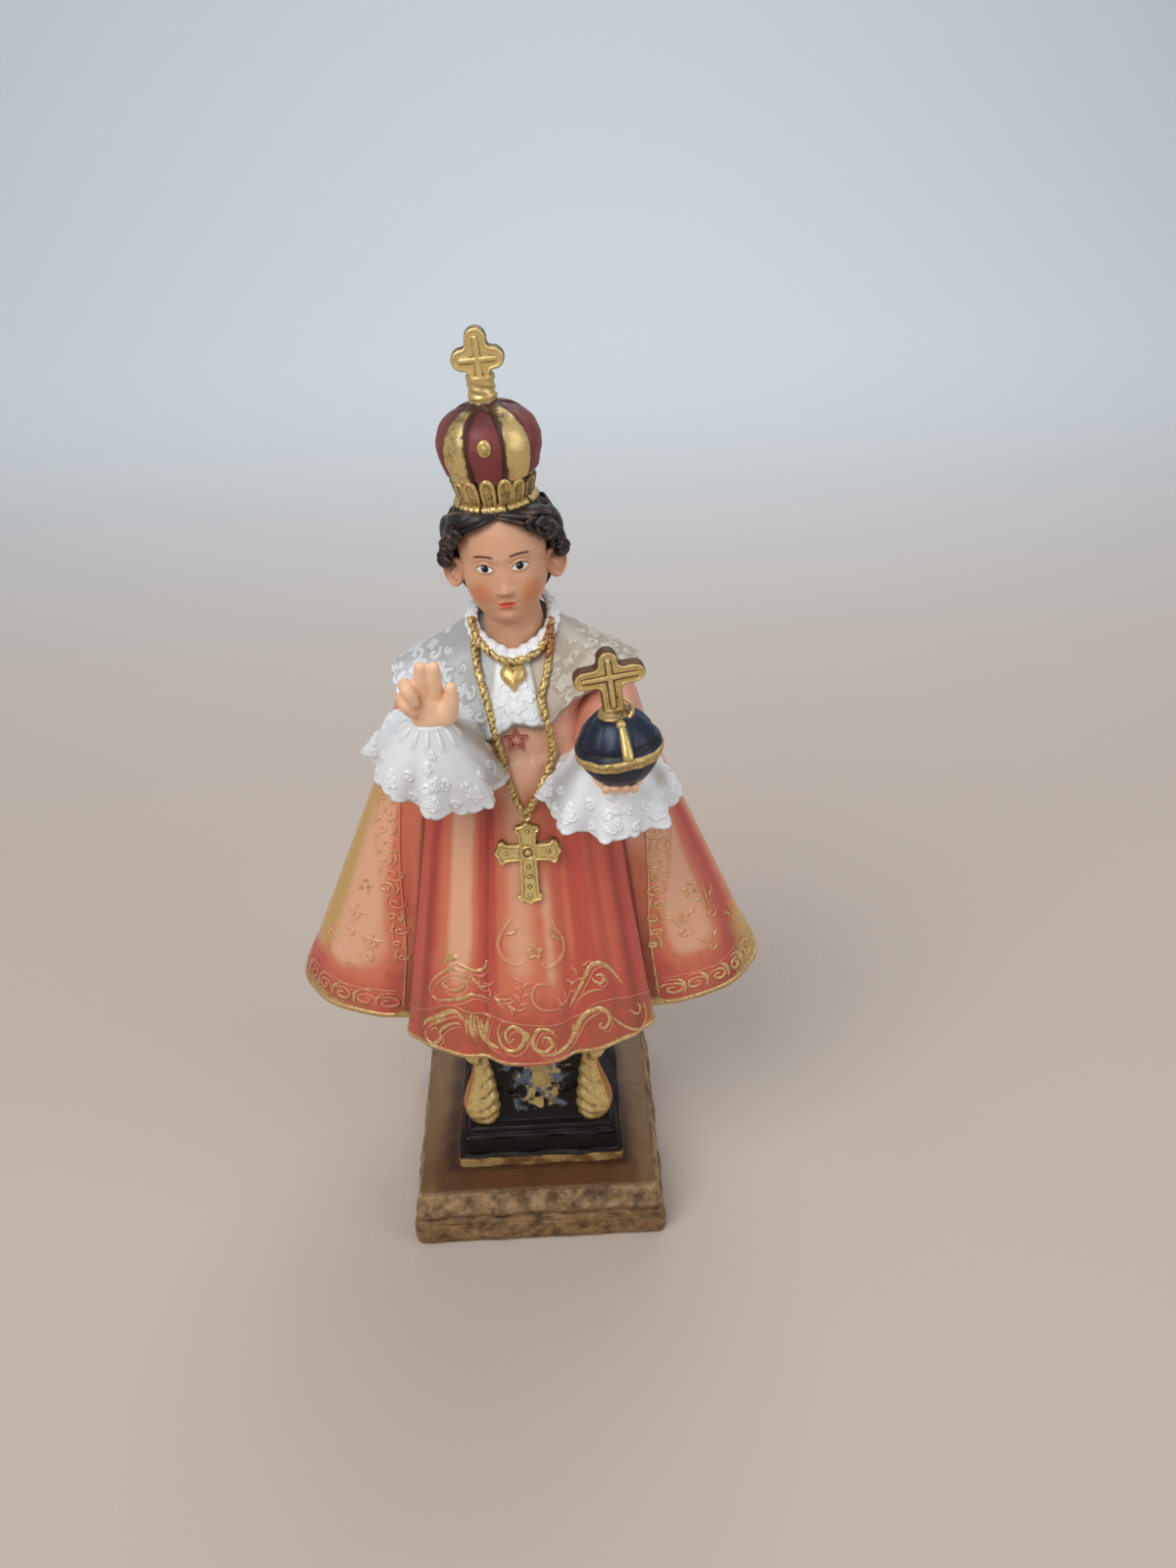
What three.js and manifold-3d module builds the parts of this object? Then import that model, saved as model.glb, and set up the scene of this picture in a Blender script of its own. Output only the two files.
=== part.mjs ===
// Cast resin statuette of a crowned child in a bell-shaped gown and mantle, on its own square base.
// Millimetres, +Z up. The origin is the middle of the base's underside, and the figure faces -Y.
import * as THREE from "three";
import { mergeVertices } from "three/addons/utils/BufferGeometryUtils.js";
import Module from "manifold-3d";

// Driving sizes of the base, the pedestal and the figure
const BASE_WIDTH = 58.5;
const BASE_TOP_WIDTH = 54.8;
const BASE_HEIGHT = 16;
const BASE_PLINTH_HEIGHT = 7.4;
const BASE_GROOVE_DEPTH = 0.8;
const BASE_GROOVE_HEIGHT = 1.2;
const BASE_CORNER_RADIUS = 2;
const BASE_EDGE_SOFTENING = 0.8;
const BASE_BAND_SETBACK = 0.6;
const PEDESTAL_WIDTH = 38.6;
const PEDESTAL_HEIGHT = 44;
const PEDESTAL_OFFSET = 0.9;
const PEDESTAL_FORWARD = 1;
const PEDESTAL_WAIST_WIDTH = 26;
const PEDESTAL_CORNICE_WIDTH = 34;
const PEDESTAL_EDGE_HEIGHT = 3;
const PEDESTAL_EDGE_SETBACK = 0.7;
const PEDESTAL_STEP_SETBACK = 2.6;
const PEDESTAL_PLINTH_HEIGHT = 8;
const PEDESTAL_STEP_HEIGHT = 1.8;
const PEDESTAL_EMBED = 3;
const BRACKET_RADIUS = 4.6;
const BRACKET_SETBACK = 1.5;
const FIGURE_HEIGHT = 140;
const HEM_WALL = 2.2;
const HEM_RECESS = 3.5;

// The figure is drawn for this height above the hem and scaled to FIGURE_HEIGHT.
const DRAWN_HEIGHT = 140;
const FIGURE_SCALE = FIGURE_HEIGHT / DRAWN_HEIGHT;

const DEGREE = Math.PI / 180;
const TURN = 2 * Math.PI;
const wasm = await Module();
wasm.setup();

// Solids and their unions

function solidOf(geometry) {
  const bare = new THREE.BufferGeometry().setAttribute("position", geometry.getAttribute("position"));
  if (geometry.index) bare.setIndex(geometry.index);
  const merged = mergeVertices(bare, 1e-4);
  return new wasm.Manifold(
    new wasm.Mesh({
      numProp: 3,
      vertProperties: merged.attributes.position.array,
      triVerts: new Uint32Array(merged.index.array),
    }),
  );
}

function union(solids) {
  return solids.reduce((whole, next) => whole.add(next));
}

function geometryOf(solid) {
  const mesh = solid.getMesh();
  const geometry = new THREE.BufferGeometry();
  geometry.setAttribute("position", new THREE.BufferAttribute(mesh.vertProperties, 3));
  geometry.setIndex(new THREE.BufferAttribute(mesh.triVerts, 1));
  return geometry;
}

// A closed body through a stack of rings, counter-clockwise seen from the last, fanned shut at both ends.
function loft(rings) {
  const count = rings[0].length;
  const middle = (ring) =>
    ring.reduce((sum, p) => sum.add(p), new THREE.Vector3()).multiplyScalar(1 / count);
  const points = [...rings.flat(), middle(rings[0]), middle(rings.at(-1))];
  const first = points.length - 2;
  const last = points.length - 1;
  const faces = [];
  for (let j = 0; j < count; j++) {
    const k = (j + 1) % count;
    for (let i = 0; i + 1 < rings.length; i++) {
      const below = i * count;
      const above = below + count;
      faces.push(below + j, below + k, above + k, below + j, above + k, above + j);
    }
    const top = (rings.length - 1) * count;
    faces.push(first, k, j, last, top + j, top + k);
  }
  const geometry = new THREE.BufferGeometry().setFromPoints(points);
  geometry.setIndex(faces);
  return solidOf(geometry);
}

// A body of revolution about Z. The profile holds [radius, height] pairs and starts and ends on the axis.
function turned(profile, segments) {
  const outline = profile.map(([radius, height]) => new THREE.Vector2(radius, height));
  return solidOf(new THREE.LatheGeometry(outline, segments).rotateX(Math.PI / 2));
}

function ellipsoid(x, y, z, halfWidth, halfDepth, halfHeight, segments = 10) {
  const ball = new THREE.SphereGeometry(1, segments, Math.ceil(segments / 2) + 1).rotateX(Math.PI / 2);
  return solidOf(ball.scale(halfWidth, halfDepth, halfHeight).translate(x, y, z));
}

// A round bar through the points, whose radius runs from the first value to the last.
function bar(points, radii, sides = 6, steps = points.length * 3) {
  const curve = new THREE.CatmullRomCurve3(points.map((p) => new THREE.Vector3(...p)));
  const rings = [];
  let across = new THREE.Vector3(0.31, 0.17, 0.93);
  for (let i = 0; i <= steps; i++) {
    const along = curve.getTangentAt(i / steps);
    const centre = curve.getPointAt(i / steps);
    const share = (i / steps) * (radii.length - 1);
    const low = Math.min(Math.floor(share), radii.length - 2);
    const radius = THREE.MathUtils.lerp(radii[low], radii[low + 1], share - low);
    across = across.clone().addScaledVector(along, -across.dot(along)).normalize();
    const side = new THREE.Vector3().crossVectors(along, across);
    rings.push(
      Array.from({ length: sides }, (_, j) =>
        centre
          .clone()
          .addScaledVector(across, radius * Math.cos((TURN * j) / sides))
          .addScaledVector(side, radius * Math.sin((TURN * j) / sides)),
      ),
    );
  }
  return loft(rings);
}

// A flat plate of the outline, standing upright in XZ, its middle plane at y = 0.
function plate(shape, thickness, curveSegments = 4) {
  const slab = new THREE.ExtrudeGeometry(shape, { depth: thickness, bevelEnabled: false, curveSegments });
  return solidOf(slab.rotateX(Math.PI / 2).translate(0, thickness / 2, 0));
}

// The smooth curve through [x, value] pairs at x, as cubic pieces with the slopes of their neighbours.
function through(pairs, x) {
  const last = pairs.length - 1;
  const i = Math.min(Math.max(pairs.findIndex((p) => p[0] > x) - 1, 0), last - 1);
  const at = x >= pairs[last][0] ? last - 1 : i;
  const slope = (k) => {
    const a = pairs[Math.max(k - 1, 0)];
    const b = pairs[Math.min(k + 1, last)];
    return (b[1] - a[1]) / (b[0] - a[0]);
  };
  const [x0, y0] = pairs[at];
  const [x1, y1] = pairs[at + 1];
  const width = x1 - x0;
  const t = Math.min(Math.max((x - x0) / width, 0), 1);
  const ends = y0 * (1 + 2 * t) * (1 - t) ** 2 + y1 * t * t * (3 - 2 * t);
  return ends + width * (slope(at) * t * (1 - t) ** 2 - slope(at + 1) * t * t * (1 - t));
}

// Angles run round the figure from the front, 0, over its left side, 90, to the back, 180.
const around = (radius, degrees, x, y, z) =>
  new THREE.Vector3(x + radius * Math.sin(degrees * DEGREE), y - radius * Math.cos(degrees * DEGREE), z);

// Base: a moulded square block, a plinth and an upper band with a groove between them

function squareRing(width, z, radius, cornerSteps = 3) {
  const half = width / 2 - radius;
  const ring = [];
  for (const [sx, sy, from] of [[1, 1, 0], [-1, 1, 90], [-1, -1, 180], [1, -1, 270]]) {
    for (let i = 0; i <= cornerSteps; i++) {
      const angle = (from + (90 * i) / cornerSteps) * DEGREE;
      const x = sx * half + radius * Math.cos(angle);
      const y = sy * half + radius * Math.sin(angle);
      ring.push(new THREE.Vector3(x, y, z));
    }
  }
  return ring;
}

function base() {
  const soften = BASE_EDGE_SOFTENING;
  const bandBottom = BASE_PLINTH_HEIGHT + BASE_GROOVE_HEIGHT;
  const bandWidth = BASE_WIDTH - 2 * BASE_BAND_SETBACK;
  const grooveWidth = bandWidth - 2 * BASE_GROOVE_DEPTH;
  const levels = [
    [BASE_WIDTH - 2 * soften, 0],
    [BASE_WIDTH, soften],
    [BASE_WIDTH, BASE_PLINTH_HEIGHT - soften],
    [BASE_WIDTH - 2 * soften, BASE_PLINTH_HEIGHT],
    [grooveWidth, BASE_PLINTH_HEIGHT + 0.1 * BASE_GROOVE_HEIGHT],
    [grooveWidth, bandBottom],
    [bandWidth, bandBottom + soften / 2],
    [BASE_TOP_WIDTH, BASE_HEIGHT - soften],
    [BASE_TOP_WIDTH - soften, BASE_HEIGHT],
  ];
  return loft(levels.map(([width, z]) => squareRing(width, z, BASE_CORNER_RADIUS)));
}

// Pedestal: stepped foot, waisted body with leaves on each side, cornice, and a scroll bracket at each corner

const PEDESTAL_BOTTOM = BASE_HEIGHT;
const HEM_Z = PEDESTAL_BOTTOM + PEDESTAL_HEIGHT;
const STEP_TOP = PEDESTAL_BOTTOM + PEDESTAL_PLINTH_HEIGHT + PEDESTAL_STEP_HEIGHT;

function pedestalBody() {
  const plinthTop = PEDESTAL_BOTTOM + PEDESTAL_PLINTH_HEIGHT;
  const waistHeight = HEM_Z - STEP_TOP;
  const levels = [
    [PEDESTAL_WIDTH, PEDESTAL_BOTTOM],
    [PEDESTAL_WIDTH, PEDESTAL_BOTTOM + PEDESTAL_EDGE_HEIGHT],
    [PEDESTAL_WIDTH - 2 * PEDESTAL_EDGE_SETBACK, PEDESTAL_BOTTOM + PEDESTAL_EDGE_HEIGHT + 0.2],
    [PEDESTAL_WIDTH - 3 * PEDESTAL_EDGE_SETBACK, plinthTop],
    [PEDESTAL_WIDTH - 2 * PEDESTAL_STEP_SETBACK, plinthTop + 0.2],
    [PEDESTAL_WIDTH - 2 * PEDESTAL_STEP_SETBACK, STEP_TOP],
    [PEDESTAL_WAIST_WIDTH + 2, STEP_TOP + 1.5],
    [PEDESTAL_WAIST_WIDTH, STEP_TOP + 0.25 * waistHeight],
    [PEDESTAL_WAIST_WIDTH, STEP_TOP + 0.55 * waistHeight],
    [PEDESTAL_WAIST_WIDTH + 2.5, STEP_TOP + 0.75 * waistHeight],
    [PEDESTAL_CORNICE_WIDTH, STEP_TOP + 0.85 * waistHeight],
    [PEDESTAL_CORNICE_WIDTH, HEM_Z + HEM_RECESS + PEDESTAL_EMBED],
  ];
  return loft(levels.map(([width, z]) => squareRing(width, z, 0.8, 1)));
}

// One bracket stands at each corner: a full leaf-shaped foot, a narrow waist and a scroll at the top.
// Each level is its share of the height, its shift out along the diagonal, and its share of the radius.
const BRACKET_LEVELS = [
  [0, -0.8, 0.9],
  [0.16, 0, 1.04],
  [0.36, -0.2, 0.94],
  [0.6, -1.2, 0.68],
  [0.77, -1.6, 0.54],
  [0.87, -0.3, 0.74],
  [1, -1, 0.5],
];

function brackets() {
  const height = 0.7 * (HEM_Z - STEP_TOP);
  const reach = (PEDESTAL_WIDTH / 2 - BRACKET_SETBACK - BRACKET_RADIUS) * Math.SQRT2;
  const rings = BRACKET_LEVELS.map(([share, out, size]) =>
    Array.from({ length: 8 }, (_, i) => {
      const angle = (TURN * (i + 0.5)) / 8;
      const radius = BRACKET_RADIUS * size;
      const lobe = 1 + 0.04 * Math.cos(4 * angle);
      const x = reach + out + radius * lobe * Math.cos(angle);
      return new THREE.Vector3(x, radius * lobe * Math.sin(angle), STEP_TOP - 0.6 + share * height);
    }),
  );
  const bracket = loft(rings);
  return [45, 135, 225, 315].map((degrees) => bracket.rotate(0, 0, degrees));
}

function panelLeaves() {
  const middle = STEP_TOP + 0.42 * (HEM_Z - STEP_TOP);
  const leaves = [];
  for (const side of [0, 90, 180, 270]) {
    for (const [x, z, size] of [[0, 3, 3.2], [-3.4, -2.5, 2.6], [3.4, -2.5, 2.6]]) {
      const leaf = ellipsoid(x, -PEDESTAL_WAIST_WIDTH / 2, middle + z, size, 1.3, size * 1.2, 5);
      leaves.push(leaf.rotate(0, 0, side));
    }
  }
  return leaves;
}

// Figure: everything below is in its own frame, with z = 0 at the hem

// The gown and mantle lean a little to the figure's left from hem to neck.
const GOWN_X = 1;
const GOWN_LEAN = 0.015;
const SHOULDER_Z = 78;
const gownX = (z) => GOWN_X + GOWN_LEAN * z;

// The hem's outline: the gown in front, the notch beside it, the spread mantle, and the back
const HEM_OUTLINE = [
  [0, 31.2],
  [30, 31.6],
  [52, 32.8],
  [60, 30.6],
  [66, 36],
  [75, 43.2],
  [84, 49],
  [92, 53],
  [100, 50.5],
  [112, 43.5],
  [126, 36],
  [148, 28.5],
  [180, 25.5],
];
// Ridges and valleys of the cloth: [angle, height of the ridge at the hem, half-width]
const FOLDS = [
  [0, 0.5, 12],
  [18, -1.2, 5],
  [31, 0.3, 6],
  [42, 0.5, 4.5],
  [52, 0.8, 4],
  [78, 0.8, 6],
  [92, -0.8, 4],
  [104, 1.2, 6],
  [117, -1.8, 6],
  [131, 1.8, 6.5],
  [146, -1.6, 6],
  [161, 1.6, 6.5],
  [173, -1.2, 5],
];

function foldHeight(degrees) {
  const side = Math.abs(degrees > 180 ? degrees - 360 : degrees);
  const bump = ([at, height, width]) => height * Math.exp(-(((side - at) / width) ** 2));
  return FOLDS.reduce((sum, fold) => sum + bump(fold), 0);
}

function gownRadius(degrees, z) {
  const side = Math.abs(degrees > 180 ? degrees - 360 : degrees);
  const share = Math.min(Math.max(z / SHOULDER_Z, 0), 1);
  const depth = side < 90 ? 16 : 12.5;
  const shoulder = 1 / Math.hypot(Math.sin(side * DEGREE) / 19, Math.cos(side * DEGREE) / depth);
  const folds = foldHeight(side) * (1 - 0.75 * share);
  return THREE.MathUtils.lerp(through(HEM_OUTLINE, side), shoulder, share) + folds;
}

// The neckline dips in front; the collar starts from it and a pleated frill stands on it.
function neckline(degrees) {
  const front = (1 + Math.cos(degrees * DEGREE)) / 2;
  return { radius: 6.3 + 2.8 * front ** 2, z: 89.4 - 5.4 * front ** 1.6 };
}

// Collar: a lace cape from the neckline over the shoulders. Its outer edge is given by radius and height.
const COLLAR_RADIUS = [
  [0, 18.6],
  [22, 19],
  [45, 20.5],
  [70, 23],
  [90, 23.8],
  [115, 21],
  [145, 16.5],
  [180, 15],
];
const COLLAR_EDGE_LEFT = [
  [0, 73.6],
  [18, 74],
  [35, 78],
  [60, 80.5],
  [90, 78.5],
  [120, 73],
  [180, 71],
];
const COLLAR_EDGE_RIGHT = [
  [0, 73.6],
  [22, 70],
  [40, 69],
  [62, 74],
  [90, 78.5],
  [120, 73],
  [180, 71],
];
const COLLAR_THICKNESS = 1.6;

function collarEdge(degrees) {
  const side = degrees > 180 ? 360 - degrees : degrees;
  const scallop = 0.5 * Math.cos(degrees * 12 * DEGREE);
  return {
    radius: through(COLLAR_RADIUS, side) + scallop,
    z: through(degrees > 180 ? COLLAR_EDGE_RIGHT : COLLAR_EDGE_LEFT, side),
  };
}

// The robe, its collar and the frill are one skin of rings, from inside the hem up to the neck.
function robe() {
  const segments = 60;
  const recess = HEM_RECESS / FIGURE_SCALE;
  const wall = HEM_WALL / FIGURE_SCALE;
  const ring = (place) =>
    Array.from({ length: segments }, (_, i) => {
      const degrees = (360 * i) / segments;
      const [radius, z] = place(degrees);
      return around(radius, degrees, gownX(z), 0, z);
    });
  const gownAt = (z, inset = 0, outlineZ = z) =>
    ring((degrees) => [gownRadius(degrees, outlineZ) - inset, z]);
  const collarAt = (share, drop = 0, inset = 0) =>
    ring((degrees) => {
      const neck = neckline(degrees);
      const edge = collarEdge(degrees);
      const radius = THREE.MathUtils.lerp(neck.radius, edge.radius, share) - inset;
      return [radius, THREE.MathUtils.lerp(neck.z, edge.z, share ** 1.1) - drop];
    });
  const frillAt = (out, up) =>
    ring((degrees) => {
      const neck = neckline(degrees);
      const pleat = 0.35 * Math.cos(degrees * 20 * DEGREE);
      return [neck.radius + out + pleat, neck.z + up + pleat];
    });
  const underCollar = ring((degrees) => {
    const edge = collarEdge(degrees);
    const z = edge.z - 0.2;
    return [Math.min(gownRadius(degrees, z), edge.radius - COLLAR_THICKNESS), z];
  });
  return loft([
    gownAt(recess, wall + 1.2, 0),
    gownAt(0, wall, 0),
    gownAt(0, 0.3),
    gownAt(1),
    gownAt(34),
    underCollar,
    collarAt(1, COLLAR_THICKNESS, 0.8),
    collarAt(1),
    collarAt(0.6),
    collarAt(0.25),
    frillAt(1.7, 1.2),
    frillAt(0.6, 2.2),
    frillAt(-0.8, 1),
  ]);
}

// Sleeves and their bell-shaped lace cuffs. A cuff flares from the wrist to a hem that hangs lower in front.
const RIGHT_CUFF = {
  wrist: [-12, -28, 81.5],
  wristRadius: 3.4,
  hem: [-12.6, -19.5, 67.8],
  hemRadius: 12.2,
  frontDrop: 3.6,
  leftDrop: 3.4,
};
const LEFT_CUFF = {
  wrist: [19.4, -25.5, 73.5],
  wristRadius: 4.2,
  hem: [19, -21.6, 60.4],
  hemRadius: 12.7,
  frontDrop: 1.6,
  leftDrop: 0.3,
};

function cuff({ wrist, wristRadius, hem, hemRadius, frontDrop, leftDrop }) {
  const segments = 28;
  const ringAt = (share, inset = 0, lift = 0) =>
    Array.from({ length: segments }, (_, i) => {
      const degrees = (360 * i) / segments;
      const flare = share ** 1.25;
      const fold = 0.9 * share * Math.cos(degrees * 8 * DEGREE);
      const radius = THREE.MathUtils.lerp(wristRadius, hemRadius, flare) + fold - inset;
      const bow = 1.6 * Math.sin(share * Math.PI);
      const sag = frontDrop * Math.cos(degrees * DEGREE) + leftDrop * Math.sin(degrees * DEGREE);
      const x = THREE.MathUtils.lerp(wrist[0], hem[0], share);
      const y = THREE.MathUtils.lerp(wrist[1], hem[1], share);
      const z = THREE.MathUtils.lerp(wrist[2], hem[2], share) - sag * share + lift;
      return around(radius + bow, degrees, x, y, z);
    });
  return loft([
    ringAt(0.9, 3.6, 2),
    ringAt(1, 1.4, 0.4),
    ringAt(1),
    ...[0.78, 0.5, 0.24, 0].map((share) => ringAt(share)),
  ]);
}

function sleeves() {
  return [
    bar([[-10, 2, 72], [-14.6, -6, 69.5], [-13.6, -16, 68], [-12.4, -25, 77]], [7, 7.6, 7.4, 3.4], 9, 5),
    bar([[13, 2, 73], [18.6, -7, 71], [19.6, -16, 70], [19.4, -24.5, 71]], [7, 7.6, 6.8, 3.8], 9, 5),
  ];
}

// Hands
function raisedHand() {
  const fingers = [
    [[-12.4, -28.9, 86], [-12.4, -30.2, 89.6], [-12, -31, 93.1]],
    [[-10.5, -29, 86], [-10.3, -30.2, 89.6], [-10.1, -31, 93]],
  ].map((points) => bar(points, [1.45, 1.3, 0.9], 6, 3));
  const folded = [
    [[-14.2, -29, 86.6], [-14.9, -30.6, 89.4], [-14.3, -32, 88.8], [-13.6, -31.7, 87.2]],
    [[-14.9, -28.9, 84.6], [-15.6, -30.4, 87], [-15.1, -31.7, 86.4], [-14.3, -31.5, 84.9]],
  ].map((points) => bar(points, [1.3, 1.3, 1.2, 0.9], 6, 4));
  const thumb = bar([[-8.6, -29.2, 83], [-7.6, -30.4, 86.4], [-7.5, -30.9, 88.9]], [1.8, 1.5, 0.9], 6, 3);
  const palm = ellipsoid(-11.4, -28.9, 84.6, 3.9, 2.2, 4.2, 10);
  const wrist = bar([[-11.8, -26.5, 76], [-11.4, -28.3, 83]], [2.8, 2.5], 8, 2);
  return [palm, wrist, thumb, ...fingers, ...folded];
}

const ORB = { centre: [20.2, -34, 78.2], bottom: -6.9 };
// The orb's radius at each elevation from below, -90, to the top
const ORB_PROFILE = [
  [-45, 7],
  [-10, 7.1],
  [5, 7.45],
  [14, 7.3],
  [30, 6.8],
  [50, 6.8],
  [68, 6.85],
];

function orbHand() {
  const [x, y, z] = ORB.centre;
  const palm = ellipsoid(x, y + 3.4, z - 7.6, 5, 5, 2.8, 10);
  const wrist = bar([[x - 0.3, y + 10, z - 6], [x, y + 3, z - 7.6]], [3.2, 3], 8, 2);
  const fingers = [-2.5, -0.8, 0.9, 2.6].map((side) =>
    bar(
      [[x + side, y + 2, z - 8.2], [x + side, y - 2.4, z - 8], [x + side, y - 4.2, z - 6.4]],
      [1.1, 1, 0.7],
      6,
      3,
    ),
  );
  return [palm, wrist, ...fingers];
}

// A cross outline with half-round ends, and small slants in the corners where its arms meet
function crossOutline(side, top, armWidth, foot, slant) {
  const half = armWidth / 2;
  const inner = half + slant;
  const quarter = Math.PI / 2;
  const outline = new THREE.Shape();
  outline.moveTo(-half, foot);
  outline.lineTo(half, foot);
  outline.lineTo(half, -inner);
  outline.lineTo(inner, -half);
  outline.absarc(side - half, 0, half, -quarter, quarter, false);
  outline.lineTo(inner, half);
  outline.lineTo(half, inner);
  outline.absarc(0, top - half, half, 0, 2 * quarter, false);
  outline.lineTo(-half, inner);
  outline.lineTo(-inner, half);
  outline.absarc(half - side, 0, half, quarter, 3 * quarter, false);
  outline.lineTo(-inner, -half);
  outline.lineTo(-half, -inner);
  outline.lineTo(-half, foot);
  return outline;
}

// Orb: a domed globe with a tilted band round it, a half hoop over the top, and a plate cross
function orb() {
  const profile = ORB_PROFILE.map(([elevation, radius]) => [
    radius * Math.cos(elevation * DEGREE),
    radius * Math.sin(elevation * DEGREE),
  ]);
  const globe = turned([[0, ORB.bottom], ...profile, [2.3, 6.5], [2.3, 7.4], [0, 7.4]], 16);
  const band = turned([[0, -0.9], [7.2, -0.9], [7.45, 0], [7.2, 0.9], [0, 0.9]], 18);
  const hoop = Array.from({ length: 6 }, (_, i) => {
    const angle = (22 + 27 * i) * DEGREE;
    return [0, -6.9 * Math.cos(angle), 6.8 * Math.sin(angle) + 0.2];
  });
  const cross = plate(crossOutline(6, 4.7, 3.5, -6.5, 0.6), 2.6, 3).translate(0, 0, 13.7);
  const tilted = band.rotate(-15.6, 0, 0).translate(0, 0, -1.3);
  const whole = union([globe, tilted, bar(hoop, [0.8, 0.8], 4, 6), cross]);
  return whole.rotate(0, 0, 6).rotate(0, -6, 0).translate(...ORB.centre);
}

// Head group: drawn upright about the neck, then tilted a little to the figure's right
const NECK_JOINT = [2.3, -1.5, 88];
const HEAD_TILT = 3.3;

// The skull's height, half-width, and how far its face and back stand from the axis, from the chin up
const SKULL = [
  [2.4, 1.4, 5.8, -1.5],
  [3.4, 3.6, 7.8, 0.5],
  [6, 5.6, 8.8, 3.5],
  [9, 7.1, 9.1, 6.5],
  [12.5, 7.9, 9, 8],
  [16.5, 8.1, 8.9, 8.6],
  [20, 7.4, 7.8, 8],
  [23, 5, 5, 5.5],
];

function skull() {
  const segments = 16;
  const rings = SKULL.map(([z, half, front, back]) =>
    Array.from({ length: segments }, (_, i) => {
      const angle = (TURN * i) / segments;
      const depth = (front + back) / 2;
      const y = (back - front) / 2 - depth * Math.cos(angle);
      const nose = i === 0 && z > 8 && z < 10 ? 1.4 : 0;
      return new THREE.Vector3(half * Math.sin(angle), y - nose, z);
    }),
  );
  return loft(rings);
}

function ears() {
  return [-1, 1].map((side) =>
    ellipsoid(0, 0, 0, 1.3, 2, 3.2, 8).rotate(0, 0, side * -42).translate(side * 9, -0.8, 11),
  );
}

// Hair: a cap behind the face, and curled locks that frame it
function hair() {
  const cap = loft(
    [
      [5, 5.6, 6.8],
      [8.5, 8.2, 9.3],
      [13, 9.3, 10.2],
      [17, 9.3, 10],
      [20, 8.6, 9],
      [22.6, 7.3, 7.4],
    ].map(([z, half, back]) =>
      Array.from({ length: 20 }, (_, i) => {
        const angle = (TURN * i) / 20;
        const wave = 1 + 0.03 * Math.cos(10 * angle);
        const front = z > 18 ? 7.6 : 1.6;
        const y = Math.cos(angle) < 0 ? -back * Math.cos(angle) : -front * Math.cos(angle);
        return new THREE.Vector3(half * wave * Math.sin(angle), y * wave, z);
      }),
    ),
  );
  const locks = [];
  for (const side of [-1, 1]) {
    const curls = [
      [[0.6, -8, 22], [3.8, -8, 20.8], [7.4, -5.6, 18.6]],
      [[7, -5, 19.4], [9.2, -2.6, 16.4], [9.6, 0, 15.6]],
      [[8.8, -0.6, 16.4], [10.4, 1.4, 12.6], [9.2, 3.6, 8]],
    ];
    for (const curl of curls) {
      locks.push(bar(curl.map(([x, y, z]) => [side * x, y, z]), [0.9, 1.6, 0.9], 5, 3));
    }
  }
  return [cap, ...locks];
}

// Crown: a band with leaves, a puffed cap in eight swellings, a stem and a plate cross
const CROWN_PROFILE = [
  [0, 20.6],
  [7.2, 21.2],
  [7.7, 21.9],
  [7.3, 22.7],
  [7.6, 23.8],
  [7.9, 26.4],
  [8.8, 30.4],
  [9.2, 32.6],
  [9, 34.6],
  [7.9, 36.9],
  [5.8, 38.5],
  [2.9, 39.5],
  [2.2, 40.6],
  [2.3, 43.2],
  [2.5, 44.4],
  [0, 44.4],
];

function crown() {
  const segments = 24;
  const rings = CROWN_PROFILE.slice(1, -1).map(([radius, z]) =>
    Array.from({ length: segments }, (_, i) => {
      const degrees = (360 * i) / segments;
      const puffed = Math.min(Math.max((z - 26.6) / 3, 0), Math.max((39 - z) / 3, 0), 1);
      const rib = 0.2 * puffed * Math.cos(degrees * 8 * DEGREE);
      const leaf = z > 23.5 && z < 27 ? 0.45 * Math.cos(degrees * 12 * DEGREE) : 0;
      return around(radius + rib + leaf, degrees, 0, 0, z);
    }),
  );
  const cross = plate(crossOutline(4.5, 5.1, 3.7, -5, 0.5), 2.6, 3).translate(0, 0, 47);
  return [loft(rings), cross];
}

function head() {
  const neck = bar([[0.4, 0.5, -6], [0, 0, 6]], [5.4, 4.8], 12, 2);
  const whole = union([neck, skull(), ...ears(), ...hair(), ...crown()]);
  return whole.rotate(0, -HEAD_TILT, 0).translate(...NECK_JOINT);
}

// Necklaces on the collar and the chest: a short chain with a heart, and a long chain with a cross
const CHAIN_RADIUS = 0.75;

function heartOutline(size) {
  const outline = new THREE.Shape();
  outline.moveTo(0, -size);
  outline.bezierCurveTo(0.9 * size, -0.3 * size, 1.1 * size, 0.8 * size, 0.5 * size, 0.85 * size);
  outline.bezierCurveTo(0.2 * size, 0.9 * size, 0, 0.7 * size, 0, 0.5 * size);
  outline.bezierCurveTo(0, 0.7 * size, -0.2 * size, 0.9 * size, -0.5 * size, 0.85 * size);
  outline.bezierCurveTo(-1.1 * size, 0.8 * size, -0.9 * size, -0.3 * size, 0, -size);
  return outline;
}

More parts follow.
